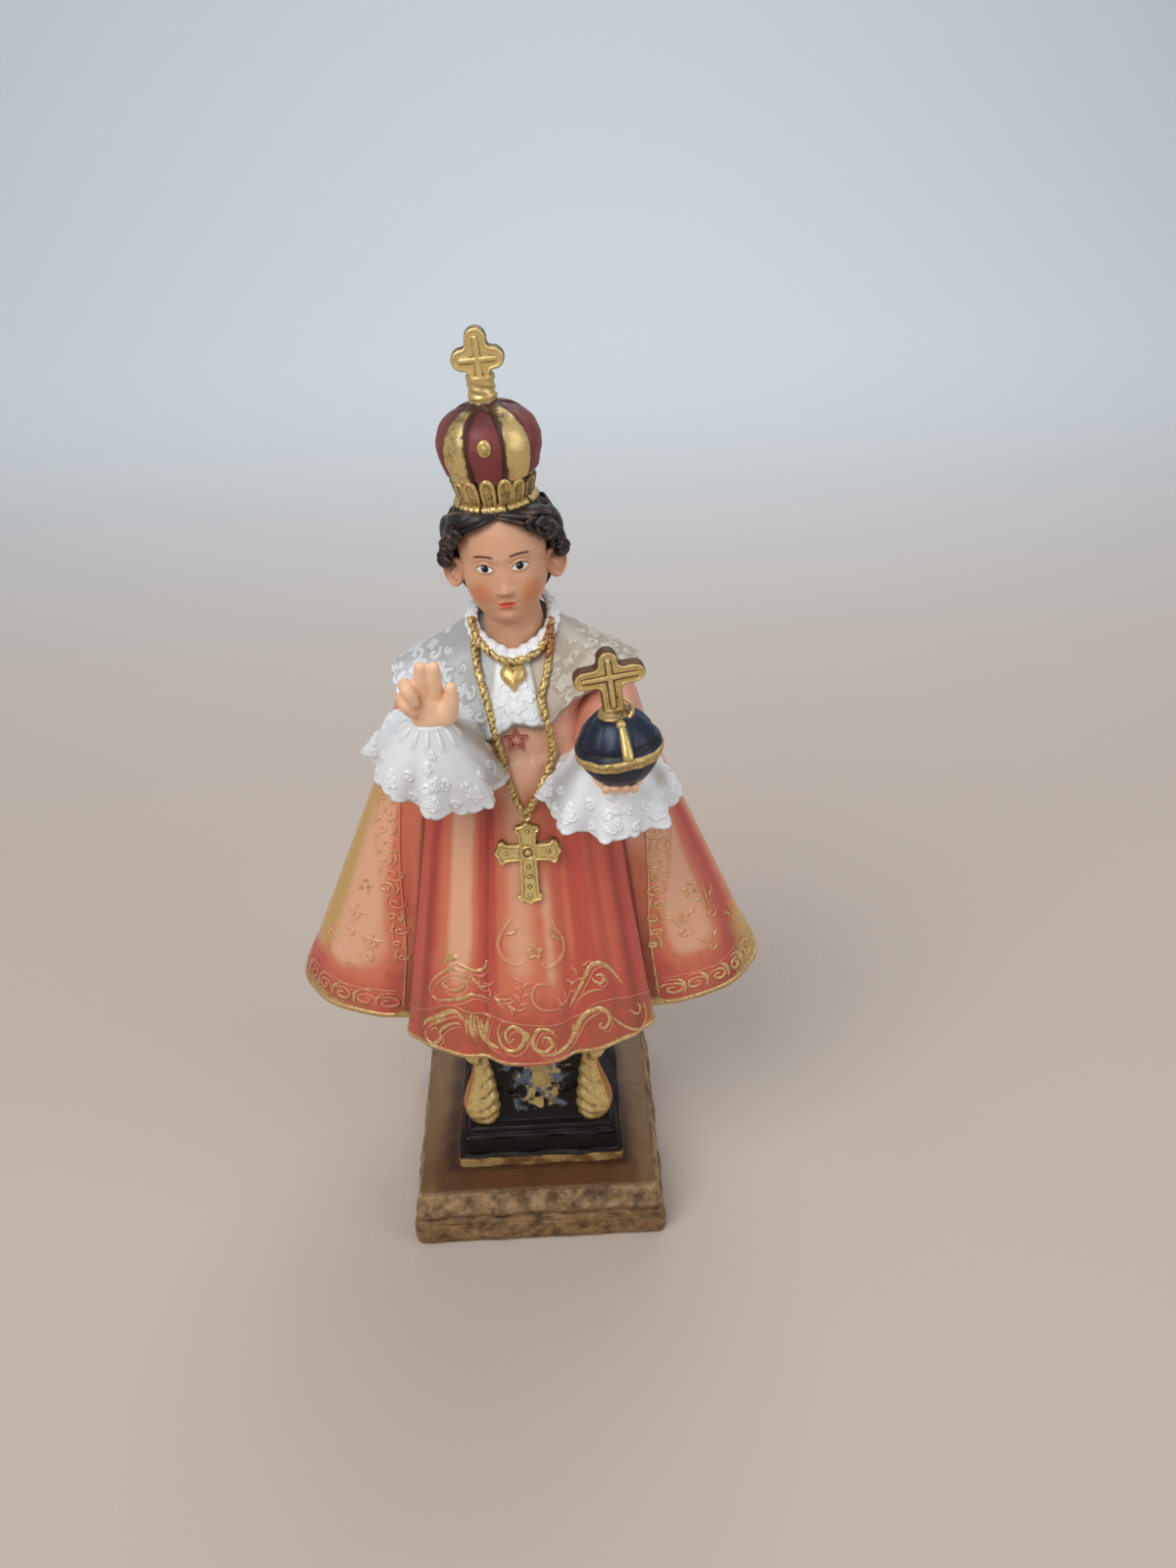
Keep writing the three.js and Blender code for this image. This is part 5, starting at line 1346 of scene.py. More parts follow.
def crown_body():
    """Red caps with gold arches between them, each arch centred 37.5 degrees from the front or the back."""
    z, radius, out, up = (column[:, None] for column in crown_run(116))
    degrees = full_turn(230)
    angle, side = np.radians(degrees), np.abs(signed(degrees - CROWN_TURN))
    from_pole = np.minimum(side, 180 - side)
    from_arch = np.abs(from_pole - ARCH_AT)
    half = through([(24, 20), (30, 18.6), (35.5, 17.6), (38.4, 18.5), (39.2, 26), (39.8, 60)], z)
    arch, on_arch = soft_step(from_arch - half, 0.8, -0.8), np.clip(from_arch / half, 0, 1)
    middle = np.where(from_pole < ARCH_AT, 0, 90)
    on_cap = np.clip(np.abs(from_pole - middle) / np.maximum(np.abs(ARCH_AT - middle) - half, 2), 0, 1)
    cap_rise = 0.42 * np.sqrt(np.clip(1 - on_cap**2, 0, 1)) - 0.42
    rise = mix(cap_rise, 0.5 * np.sqrt(np.clip(1 - on_arch**3, 0, 1)) - 0.2, arch)
    seam = bump(from_arch, half, 1.9) * soft_step(z, 39.4, 38.6)
    tuck = soft_step(z, 23.6, 24.4) * soft_step(z, 28.6, 27.4)
    rope = bump(z, 23.15, 0.5) * (0.16 + 0.16 * np.cos(angle * 38 + 4.2 * (z - 22)))
    twist = 0.16 * bump(z, 42.2, 1.2) * np.cos(angle * 3 + 4.2 * z)
    twist += 0.3 * bump(z, 40.9, 0.4) + 0.12 * bump(z, 43.9, 0.4)
    lumps = 0.06 * np.cos(angle * 7 + z) * np.cos(z * 1.3 + angle * 3)
    puffed = soft_step(z, 26.4, 28.4) * soft_step(z, 40.2, 39.0)
    push = puffed * (rise - 0.2 * seam + lumps) + rope + twist - 0.5 * tuck
    points = around(radius + push * out, degrees, 0, 0, z + push * up)
    above = np.maximum(arch * soft_step(z, 25, 26), soft_step(z, 39.0, 39.6))
    gold = np.where(z < 24.2, soft_step(z, 22.3, 22.6), above)
    # Hollow: painted shade round the red caps' edges and seams and on their lower part, and brown along and
    # on the gold arches.
    hollow = 0.85 * seam + 0.6 * soft_step(on_arch, 0.5, 1) * arch
    hollow += 0.5 * bump(z, 22.4, 0.3) + 0.5 * bump(z, 39.7, 0.6)
    hollow += 0.5 * soft_step(z, 35, 38.6) * soft_step(z, 41, 39.8) + 0.3 * arch * bump(z, 29, 1.6)
    hollow += 0.45 * arch * bump(signed(degrees), -46, 24) * bump(z, 34, 4)
    hollow += 0.3 * (1 - arch) * soft_step(z, 31, 27) + 0.25 * tuck
    # Dark: painted shade behind the petals and at the crown's foot, also stronger to the sides.
    dark = tuck * (0.5 + 0.35 * np.cos(angle * 3 - 0.6)) + 1.4 * soft_step(z, 22.6, 22.3)
    dark += 0.5 * tuck * np.sin(np.radians(side)) ** 4
    return skin(points, arch=np.maximum(gold, 0.9 * tuck), hollow=hollow, dark=dark)


def on_crown(degrees, height, lift=0.0):
    """Points and outward normals on the crown's band at degrees and height."""
    radius = through(CROWN_PROFILE, height) + lift
    slope = (through(CROWN_PROFILE, height + 0.2) - through(CROWN_PROFILE, height)) / 0.2
    normal = unit(around(1.0, degrees, 0, 0, -slope))
    return around(radius, degrees, 0, 0, height), normal


def crown_leaves():
    """Upright petals round the band, lower and flatter at the sides: a puffed middle inside a rolled rim."""
    forms, s = [], np.linspace(0, 1, 22)
    for i in range(17):
        middle = 21.18 * i + CROWN_TURN - 4 + 2 * math.sin(2.6 * i)
        flank = float(soft_step(abs(signed(middle)), 44, 66))
        height, sunk = 4.4 + 0.4 * math.sin(1.9 * i + 1) - 1.4 * flank, 0.5 * flank
        places, normals = on_crown(np.full(12, middle), np.linspace(24.0, 23.7 + height, 12), -0.25 - sunk)
        widths = 2.6 * np.linspace(0.75, 1.1, 12)
        forms.append(ridge(places, normals, widths, 0.65, 0.28, 10, hollow=0.42 + 0.4 * flank))
        loop_d = middle + 9.6 * np.cos(math.pi * s) * (0.74 + 0.26 * np.sin(math.pi * s))
        places, normals = on_crown(loop_d, 23.9 + height * np.sin(math.pi * s) ** 0.6, 0.02 - sunk)
        forms.append(ridge(places, normals, 0.85, 0.46, 0.1, 6, hollow=0.5 * flank))
    return forms


def arc(x, z, radius, start, end):
    """Points of an arc in the plate's plane, between two angles given in quarter turns."""
    angle = math.pi / 2 * np.linspace(start, end, 14)
    return np.stack([x + radius * np.cos(angle), z + radius * np.sin(angle)], 1)


def cross_outline(side, top, arm, foot, hollow):
    """A cross with half-round ends and small round hollows where its arms meet, run counter-clockwise."""
    half, corner = arm / 2, arm / 2 + hollow
    return np.concatenate([
        [(-half, foot), (half, foot)],
        arc(corner, -corner, hollow, 2, 1), arc(side - half, 0, half, -1, 1),
        arc(corner, corner, hollow, -1, -2), arc(0, top - half, half, 0, 2),
        arc(-corner, corner, hollow, 0, -1), arc(half - side, 0, half, 1, 3),
        arc(-corner, -corner, hollow, 1, 0),
    ])


def evened(outline, count):
    """The closed outline's points again, evenly spaced along it."""
    return spaced(np.concatenate([outline, outline[:1]]), count, False)


def inset(outline, by):
    """The outline moved inwards along its own normals, which are averaged over their neighbours."""
    step = np.roll(outline, -2, 0) - np.roll(outline, 2, 0)
    normal = unit(np.stack([-step[:, 1], step[:, 0]], 1))
    return outline + by * normal


def plate(outline, thickness, rounding, count, **paint):
    """An upright plate in XZ with rounded edges: inset by r(1 - sin a) as y runs through r(1 - cos a)."""
    outline = evened(outline, count)
    turn = np.radians([0, 25, 50, 72, 90])
    depth = thickness / 2 - rounding * (1 - np.sin(turn))
    pull = rounding * (1 - np.cos(turn[::-1]))[::-1]
    rings = [(d, p) for d, p in zip(depth[::-1], pull[::-1])] + [(-d, p) for d, p in zip(depth, pull)]
    flats = [(y, inset(outline, by)) for y, by in rings]
    rows = np.stack([np.stack([flat[:, 0], np.full(count, y), flat[:, 1]], 1) for y, flat in flats])
    side = np.array([0, 0.1, 0.5, 0.9, 1])
    return skin(rows, hollow=np.r_[side, side[::-1]][:, None], **paint)


def on_plate(points, y, width, height, taper=0.1, **paint):
    """A ridge along (x, z) points on a plate's front, or on its back where y is positive."""
    points = np.asarray(points, float)
    place = np.stack([points[:, 0], np.full(len(points), y), points[:, 1]], 1)
    normals = np.tile([0, -1.0 if y < 0 else 1.0, 0], (len(points), 1))
    return ridge(place, normals, width, height, taper, **paint)


def plain_cross(side, top, y, foot):
    """A plain cross for a plate's face: an upright and a bar, each between two engraved lines."""
    upright = np.stack([np.zeros(24), np.linspace(foot, top - 1.3, 24)], 1)
    bar = np.stack([np.linspace(1.3 - side, side - 1.3, 24), np.zeros(24)], 1)
    engraved = [on_plate(run, y, 1.55, 0.1, hollow=0.8) for run in (upright, bar)]
    return engraved + [on_plate(run, y, 1.0, 0.36) for run in (upright, bar)]


def rim(outline, by, y, width, height, count=160, **paint):
    """A ridge all round a plate, inset from its outline."""
    loop = inset(evened(outline, count), by)
    return on_plate(np.concatenate([loop, loop[:2]]), y, width, height, 0.02, **paint)


def plate_cross(side, top, arm, foot, hollow, thickness):
    """The plate cross: its body, a soft rim and a raised plain cross on both faces."""
    outline = cross_outline(side, top, arm, foot, hollow)
    forms = [plate(outline, thickness, 0.5, 220, crest=0.4)]
    for y, sunk in ((-thickness / 2, 0.02), (thickness / 2, -0.02)):
        forms += [rim(outline, 0.42, y, 0.5, 0.16), *plain_cross(side, top, y + sunk, foot + 0.8)]
    return forms


def on_head(forms):
    """The forms tilted with the head and set on the neck."""
    return [form.turned(HEAD_TILT, "Y").moved(*NECK_JOINT) for form in forms]


# Orb

# The orb's elevation in degrees and radius
ORB_PROFILE = [
    (-90, 6.9), (-45, 6.95), (-15, 7.1), (-3, 7.2), (4, 7.5), (12, 7.35), (28, 6.8), (45, 6.75), (59, 6.95),
    (75, 6.75), (90, 6.7),
]


def on_globe(degrees, elevation, lift=0.0):
    """Points and outward normals of the orb at degrees and elevation."""
    rise = np.radians(elevation)
    out = around(np.cos(rise), degrees, 0, 0, np.sin(rise))
    return out * np.expand_dims(through(ORB_PROFILE, elevation) + lift, -1), out


def globe():
    """The orb: its radius follows the elevation, with four puffed gores above the lip and grooves between."""
    degrees, elevation = np.broadcast_arrays(full_turn(168), rows_between(-88, 88, 84))
    angle, from_seam = np.radians(degrees), np.abs((degrees - 8 + 45) % 90 - 45)
    upper = soft_step(elevation, 9, 20)
    seam = bump(from_seam, 0, 4.5) * upper * soft_step(elevation, 78, 64)
    swell = 0.22 * upper * np.sin(np.radians(from_seam * 4)) * bump(elevation, 42, 26) - 0.5 * seam
    lumps = 0.05 * np.cos(angle * 5 + elevation / 17) + 0.04 * np.cos(angle * 11 - elevation / 9)
    points, _ = on_globe(degrees, elevation, swell + lumps - 0.35 * bump(elevation, 16, 5))
    rub = bump(elevation, 46, 20) * (0.55 + 0.45 * np.cos(angle * 3 + np.radians(40)))
    hollow = np.maximum(seam, bump(elevation, 15, 5) + 0.9 * bump(elevation, -2, 4))
    return skin(points, hollow=hollow, rub=rub + 0.3 * bump(elevation, 5, 3))


def orb_bands():
    """The rough gold band, higher in front than behind, straps up the front and back, a collar and a loop."""
    degrees, edge = full_turn(200), rows_between(-1, 1, 16)
    u = np.radians(degrees)
    rise = -7 + 8 * np.cos(u) + 8.6 * edge + 0.9 * np.sin(5 * u + 1) + 0.5 * np.sin(13 * u)
    lift = 0.6 * (1 - edge**8) - 0.2 - 0.07 * bump(edge, 0.1, 0.2)
    lift = lift + 0.06 * np.sin(11 * u + 2 * edge) + 0.05 * np.sin(23 * u)
    ring, _ = on_globe(degrees + 0 * edge, rise, lift)
    forms = [skin(ring, hollow=0.22 * bump(edge, 0.1, 0.25) + 0.3 * edge**8)]
    for turn in (0, 180):
        points, normals = on_globe(turn + np.linspace(5, 8, 30), np.linspace(10, 58, 30))
        forms.append(ridge(points, normals, np.linspace(2.2, 1.25, 30), 0.6, 0.1))
        knob, _ = on_globe(np.array(turn + 8.0), np.array(58.0), 0.15)
        forms.append(ball(knob, (0.85, 0.8, 0.8), 10, 16, crest=0.8))
    steps = [(6.2, 2.9), (6.5, 2.75), (6.8, 2.45), (7.1, 2.45), (7.35, 2.25), (7.5, 1.9)]
    z, radius = np.array(steps).T[..., None]
    loop = path([(1.9, -1.4, 9.6), (2.8, -1.4, 8.4), (3.0, -1.4, 7.0), (2.1, -2.0, 6.0)], 24)
    collar = skin(around(radius, full_turn(48), 0, 0, z), hollow=0.3)
    return [*forms, collar, tube(loop, [0.38, 0.38], sides=8)]


def in_hand(forms):
    """The forms turned and set at the orb's place."""
    return [form.turned(6, "Z").turned(-6, "Y").moved(*ORB) for form in forms]


# Necklaces

SHORT_CHAIN = [
    (-5.2, -3, 88.4), (-4.7, -5.4, 87.4), (-3.6, -8.2, 86), (-0.4, -10.4, 83.8), (2.3, -11.1, 83.3),
    (5, -10.5, 83.7), (7.3, -8.9, 84.8), (9, -6.8, 86.6), (9.6, -4.6, 87.8),
]
LONG_CHAIN = [
    (-5.4, -2.6, 88.6), (-4.9, -6.8, 85), (-4.3, -10.4, 81.1), (-2.6, -15, 75.6), (-1.5, -18.5, 71.9),
    (0.6, -20, 61.9), (2.9, -21, 56.6), (6, -20.9, 61.9), (8.5, -18, 66.6), (8.2, -17.6, 73),
    (7.1, -15.4, 77.5), (8.3, -12.3, 81.4), (9.2, -7.6, 84.7), (9.6, -3.2, 88),
]


def chain(points, radius, pitch, count, tint):
    """A cast rope: a two-lobed section turns once in two pitches along the path, rough, with uneven lumps.

    The tint is where along it, and over what share, its gold turns to orange.
    """
    run = path(points, count)
    along = unit(np.gradient(run, axis=0))
    length = lengths(run)[:, None]
    first = unit(np.cross((0.3, -0.8, 0.5), along))
    second = np.cross(along, first)
    angle = ring_angles(12)[None]
    twist = math.pi * length / pitch + 0.7 * np.sin(length * 0.9) + 0.4 * np.sin(length * 2.3)
    lobe = np.abs(np.cos(angle - twist)) ** 1.3
    lump = np.cos(2.1 * length + np.sin(length * 0.7)) * np.cos(3.7 * length + 1)
    grain = np.cos(3 * angle + 5.3 * length) * np.cos(7.1 * length + 1.3 * np.sin(2.9 * length))
    grain += 0.6 * np.cos(11.7 * length + 2 * angle)
    reach = radius * (0.78 + 0.32 * lobe + 0.08 * grain + 0.12 * lump)
    ring = (np.cos(angle) * reach)[..., None] * first[:, None]
    ring = ring + (np.sin(angle) * reach)[..., None] * second[:, None]
    hollow, amber = 0.75 * (1 - lobe) - 0.25 * grain - 0.2 * lump, bump(length / length[-1], *tint)
    return skin(run[:, None] + ring, hollow=hollow, crest=lobe, amber=amber)


def heart():
    """A puffed heart: outlines scaled by cos a as they rise by sin a to each side, with a loop on top."""
    t = np.linspace(0, TURN, 72, endpoint=False)
    x = 2.45 * np.sin(t) ** 3
    z = 0.19 * (13 * np.cos(t) - 5 * np.cos(2 * t) - 2 * np.cos(3 * t) - np.cos(4 * t)) + 0.2
    outline = np.stack([x, z], 1)[::-1]
    rise = np.radians(rows_between(-84, 84, 25))
    flat = outline[None] * np.cos(rise)[..., None] ** 0.75
    points = spots(flat[..., 0], -1.5 * np.sin(rise), flat[..., 1])
    loop = path([(0, 0.2, 1.6), (0.75, 0, 2.4), (0, -0.3, 3.2), (-0.75, 0, 2.4), (0, 0.2, 1.6)], 30)
    forms = (skin(points, crest=0.5), tube(loop, [0.36, 0.36], sides=10))
    return [form.turned(-39, "X").moved(2.2, -12.6, 80.6) for form in forms]


def pendant_outline():
    """A long cross whose arms flare into three-pointed ends."""
    flare = np.array([(1.75, -3.2), (1.85, -2.2), (2.5, -1.7), (2.2, -0.8), (1.0, -0.55), (0, 0.15)])
    ends = []
    for turn, reach in ((0, 6.2), (90, 6.4), (180, 11.0), (270, 6.4)):
        right = [(1.7, 1.7)] + [(x, reach + z) for x, z in flare[1:]]
        whole = np.array(right + [(-x, z) for x, z in right[-2::-1]])
        c, s = math.cos(math.radians(turn)), math.sin(math.radians(turn))
        ends.append(whole @ np.array([[c, s], [-s, c]]))
    return np.concatenate(ends)


# The pendant's dots as place across, height and size, the boss first
PENDANT_DOTS = [
    (0, 0, 0.62), (0.1, 4.4, 0.36), (-4.2, 0, 0.36), (3.9, 0.1, 0.36), (0, -3, 0.34), (0.1, -5.1, 0.36),
    (0, -7.2, 0.34), (0, -9.2, 0.36),
]


def pendant():
    """The pendant cross: plate, rim, dark inner line, ringed boss in a square, ringed dots, a loop above."""
    outline, face = pendant_outline(), -1.1
    rims = [rim(outline, 0.34, face, 0.5, 0.34, 200), rim(outline, 0.74, face, 0.28, 0.1, 200, hollow=0.7)]
    forms = [plate(outline, 2.2, 0.4, 260, crest=1.0), *rims]
    a = np.linspace(0, TURN, 30)
    circle = np.stack([np.cos(a), np.sin(a)], 1)
    for radius, width, dark in ((1.2, 0.36, 0), (0.86, 0.26, 1)):
        forms.append(on_plate(radius * circle, face, width, 0.3, 0.02, hollow=dark))
    for at in (-1.6, 1.6):
        sides = ([(at, -1.6), (at, 0), (at, 1.6)], [(-1.6, at), (0, at), (1.6, at)])
        forms += [on_plate(run, face, 0.26, 0.12, hollow=0.75) for run in sides]
    forms += [ball((x, face, z), (1.5 * r, 0.2, 1.5 * r), 8, 16, hollow=0.8) for x, z, r in PENDANT_DOTS[1:]]
    forms += [ball((x, face, z), (0.85 * r, 0.4, 0.85 * r), 8, 12, crest=1.0) for x, z, r in PENDANT_DOTS]
    loop = path([(0, 0, 6.0), (0.9, 0.2, 7.0), (0, 0.4, 8.1), (-0.9, 0.2, 7.0), (0, 0, 6.0)], 24)
    forms.append(tube(loop, [0.42, 0.42], sides=8, hollow=0.3))
    return [form.turned(-11, "X").moved(3, -21.9, 48.4) for form in forms]


# Pedestal and base


def square_ring(width, radius, straight, corner):
    """Points round a rounded square of each width, counter-clockwise from the front: sides and corners."""
    width = np.asarray(width, float)[:, None]
    flat = width - 2 * radius
    share = np.linspace(-0.5, 0.5, straight)[None]
    bend = np.radians(np.linspace(-90, 0, corner + 2)[1:-1])[None]
    x = np.concatenate([flat * share, flat / 2 + radius * np.cos(bend)], 1)
    y = np.concatenate([-width / 2 + 0 * share, -flat / 2 + radius * np.sin(bend)], 1)
    sides = [(x, y), (-y, x), (-x, -y), (y, -x)]
    return np.concatenate([np.stack(side, -1) for side in sides], 1)


def sided(levels, radius, rows, straight, corner):
    """Rounded squares on (width, z) levels, evenly spaced up them: their points, and the run round them."""
    levels = np.array(levels, float)
    run = np.r_[0, np.cumsum(np.hypot(np.diff(levels[:, 0]) / 2, np.diff(levels[:, 1])))]
    at = np.unique(np.r_[np.linspace(0, run[-1], rows), run])
    width, z = (np.interp(at, run, column) for column in levels.T)
    ring = square_ring(width, radius, straight, corner)
    return spots(ring[..., 0], ring[..., 1], z[:, None]), lengths(ring[0])[None]


# Curls and leaves of one repeat along the base's band, and the curls of its plinth
BAND_CURLS = [(-1.2, 12.2, 1.7, 1.3, 0.5, 1), (1.5, 11.4, 1.3, 1.2, 3.4, -1), (0.3, 14.0, 0.9, 1, 2, 1)]
BAND_LEAVES = [(0.2, 10.2, 0.9, 4, 0.4), (2.5, 13.7, 0.8, 4, 0), (-2.6, 13.9, 0.8, 4, 0)]
PLINTH_CURLS = [(-1.3, 3.9, 1.3, 1.2, 2.5, 1), (1.4, 3.3, 1.2, 1.2, 0.4, -1)]


def base_block():
    """The base: plinth, groove and leaning band with low curls and leaves along them, its edges wavy."""
    w, t, h, repeat = BASE_WIDTH, BASE_TOP_WIDTH, BASE_HEIGHT, 5.6
    levels = [
        (w - 1.8, 0), (w - 0.9, 0.2), (w - 0.1, 0.8), (w, 1.4), (w, 6), (w - 0.3, 6.7), (w - 1.2, 7.2),
        (w - 2.8, 7.5), (w - 3, 7.9), (w - 2.9, 8.5), (w - 1.4, 8.8), (w - 1.3, 9.2), (t + 0.1, h - 1.3),
        (t - 0.2, h - 0.6), (t - 0.9, h - 0.1), (t - 1.8, h), (44, h), (36, h),
    ]
    points, run = sided(levels, 2.0, 84, 72, 6)
    z = points[..., 2]
    run = run + 0 * z
    u = run % repeat - repeat / 2
    pattern = np.maximum(curls(u, z, BAND_CURLS, 0.62), petals(u, z, BAND_LEAVES))
    low = curls(u, z, PLINTH_CURLS, 0.6)
    lump = 0.5 + 0.5 * np.sin(run * 1.9 + 1.3 * np.sin(run * 0.41)) * np.sin(z * 1.7 + run * 0.6)
    wave = 0.18 * np.sin(run * 0.37 + 1) + 0.12 * np.sin(run * 0.83) + 0.05 * np.sin(run * 2.3)
    on_top = soft_step(z, 15.6, 15.95)
    upper = soft_step(z, 9.2, 9.8) * soft_step(z, 15.5, 14.9)
    lower = soft_step(z, 1.2, 2) * soft_step(z, 6.2, 5.4)
    proud = upper * (0.2 * pattern + 0.16 * lump) + lower * (0.1 * low + 0.12 * lump)
    proud += wave * soft_step(z, 0.2, 1.5) * (1 - on_top)
    points = points + normals_of(points) * proud[..., None]
    relief = upper * (0.35 + 0.3 * pattern + 0.3 * lump) + lower * (0.15 + 0.15 * low + 0.3 * lump)
    relief += 0.4 * bump(z, 6.3, 0.5) + 0.4 * bump(z, 15.2, 0.4)
    x, y = points[..., 0], points[..., 1]
    # Shade: painted shadow on the top in a band round the pedestal's foot, over a slight darkening of the
    # whole top.
    shade = on_top * (0.2 + 0.6 * bump(np.maximum(np.abs(x), np.abs(y)), 20, 1.8))
    pale = on_top * (0.6 * soft_step(np.abs(x), 20, 25) + 0.45 * soft_step(y, -22, 4))
    band, low = (1 - on_top) * soft_step(z, 6.5, 7.2), soft_step(z, 8.4, 7.2)
    return skin(points, relief=relief, shade=shade, pale=pale, band=band, low=low)


def pedestal_levels():
    """The pedestal's profile of widths and heights: foot, steps, waist and cornice."""
    w, waist, cornice = PEDESTAL_WIDTH, PEDESTAL_WAIST, PEDESTAL_CORNICE
    steps = [(1, 15.5), (0, 15.9), (0, 18.5), (0.4, 18.9), (1.6, 19.1), (2.1, 19.3), (2.6, 24.0), (3.4, 24.4)]
    steps += [(5.0, 24.6), (5.2, 25.4), (6, 25.8)]
    shares = [(waist + 0.8, 0.12), (waist, 0.25), (waist, 0.55), (waist + 0.8, 0.66), (waist + 2.5, 0.75)]
    shares += [(cornice - 1, 0.83), (cornice, 0.86)]
    levels = [(w - less, z) for less, z in steps] + [(waist + 3.4, 26.2), (waist + 2, 27.3)]
    return levels + [(width, mix(STEP_TOP, HEM_Z, share)) for width, share in shares] + [(cornice, 64.5)]


# Leaves of a pedestal panel: place across, height, size and lean, each with its mirror image
PANEL_LEAVES = [
    (0, 43.6, 2.6, 0), (3.9, 39.6, 2.3, -0.5), (0, 37.2, 2.1, 0), (6.6, 43.4, 2.2, -0.8),
    (3.2, 46, 1.9, -0.4), (6.4, 36.2, 1.9, 0), (2.2, 33.4, 1.8, -0.4),
]


def pedestal_body():
    """The black pedestal: leaves in low relief on its waist, a gold fillet of uneven height on its foot."""
    points, run = sided(pedestal_levels(), 0.8, 104, 46, 4)
    x, y, z = np.moveaxis(points, -1, 0)
    side = np.minimum(np.abs(x), np.abs(y))
    along = np.where(np.abs(x) > np.abs(y), y, x)
    window = bump(along / 13, 0, 1) ** 2 * soft_step(z, 26.5, 30) * soft_step(z, 55, 50)
    leaf = 0
    for hand in (-1, 1):
        for place, mid, size, lean in PANEL_LEAVES:
            up = z - mid
            across = along - hand * place - hand * lean * up * 0.5
            shape = np.exp(-(((across / size) ** 2 + (up / (size * 1.3)) ** 2) ** 2))
            leaf = np.maximum(leaf, shape * (0.72 + 0.28 * np.cos(3.6 * across) * np.cos(1.5 * up)))
    rough = 0.12 * np.sin(run * 2.1 + z * 1.3) * np.sin(z * 2.3 - run * 0.7)
    push = 1.2 * leaf * soft_step(z, 28, 31) * (side < 11) + window * rough
    push = push + 0.12 * np.sin(run * 0.5) * (z < 26)
    points = points + normals_of(points) * push[..., None]
    edge = 18.5 + 0.1 * np.sin(run * 0.43) + 0.06 * np.sin(run * 1.3)
    fillet = soft_step(z, 15.8, 16.1) * soft_step(z, edge + 0.3, edge) * (1 - 0.4 * bump(along, 8, 3))
    return skin(points, dab=window * (0.55 + 0.5 * leaf), centre=window * bump(along, 1.5, 6), fillet=fillet)


# A bracket's share of the height, place outwards and size
BRACKET_LEVELS = [
    (0, -0.9, 0.5), (0.05, -0.5, 0.7), (0.14, -0.1, 0.9), (0.28, 0, 1), (0.44, -0.5, 0.84),
    (0.6, -1.2, 0.62), (0.76, -1.6, 0.46), (0.84, -1.5, 0.4),
]


def bracket(degrees):
    """A leaf bracket on a corner: slanting veins end in lobes on the panel's side, below a rolled scroll."""
    height, reach = 0.7 * (HEM_Z - STEP_TOP), (PEDESTAL_WIDTH / 2 - 6.1) * math.sqrt(2)
    share, angle = rows_between(0, 0.84, 64), ring_angles(68)[None]
    out, size = (through([(row[0], row[k]) for row in BRACKET_LEVELS], share) for k in (1, 2))
    outer = (-1 if degrees in (45, 225) else 1) * np.sin(angle)
    vein = share * 24 + 1.2 + 1.5 * np.arccos(np.clip(-outer, -1, 1))
    groove = -np.cos(2 * vein) * soft_step(share, 0.02, 0.12) * soft_step(-outer, -0.2, 0.1)
    below_roll = soft_step(share, 0.8, 0.66)
    lobe = np.abs(np.sin(vein)) ** 0.6 * soft_step(-outer, 0.66, 0.96) * below_roll
    radius = 4.3 * size * (0.95 + 0.02 * groove + 0.15 * lobe)
    z = STEP_TOP - 0.6 + share * height
    points = spots(reach + out + radius * np.cos(angle), radius * np.sin(angle), z)
    hollow = 0.05 - 0.14 * groove + 0.3 * bump(outer, -0.1, 0.1) + 0.3 * bump(share, 0.8, 0.06)
    hollow += 0.2 * (lobe > 1e-9) * (1 - lobe)
    # Amber: orange-brown on the half of each leaf that faces the side panel, as painted shade.
    amber = 1.1 * soft_step(outer, -0.1, 0.35) * below_roll
    body = skin(points, crest=0.5 + 0.5 * groove, hollow=hollow, amber=amber)
    turn = np.linspace(0, 1.7 * TURN, 44)
    wound = 2.3 * (1 - turn / turn[-1] * 0.78)
    x, z = reach - 0.2 + wound * np.sin(turn - 2.2), STEP_TOP + 0.88 * height + wound * np.cos(turn - 2.2)
    roll = np.stack([x, 0 * turn, z], 1)
    scroll = tube(roll, [0.9, 1.05, 1.0, 0.85], sides=16, lean=(0, 1, 0), flat=2.1, flutes=4, depth=0.05)
    return [form.turned(degrees, "Z") for form in (body, scroll)]


# Building the pieces

satin, gilded, lace, hair = satin_finish(), scrollwork_finish(), lace_finish(), hair_finish()
flesh = flesh_finish("painted_flesh", rgb(220, 168, 134), rgb(202, 146, 110))
# The hands' flesh is the face's painted lighter: painted light on the hands.
lit_hand_flesh = flesh_finish("lit_hand_flesh", rgb(246, 202, 164), rgb(230, 176, 138))
gold, chain_gold, leaf_gold = gold_finish(), gold_finish("chain_gold", 0.14), gold_finish("leaf_gold", 0.22)
bright_gold = gold_finish("bright_gold", 0.05, rgb(228, 198, 126))


def robe_rows(degrees):
    """The robe's rows: up inside the hem, round its edge, and up the outside to beneath the collar."""
    edge_radius, top = collar_edge(degrees)
    base, wall = gown_radius(degrees, 0 * degrees), HEM_WALL
    rows = [(wall + 1.2, HEM_RECESS), (wall, 0.1), (wall - 0.4, 0), (0.5, 0), (0.15, 0.12)]
    rings = [around(base - inwards, degrees, gown_x(z), 0, z + 0 * degrees) for inwards, z in rows]
    heights = [np.full(degrees.shape, float(z)) for _, z in rows]
    for share in np.linspace(0.004, 1, 118):
        z = share * (top + 1.5)
        radius = gown_radius(degrees, z)
        radius = np.where(z > 66, np.minimum(radius, edge_radius - 1.3), radius)
        rings.append(around(radius, degrees, gown_x(z), 0, z))
        heights.append(z)
    return np.stack(rings), np.stack(heights)


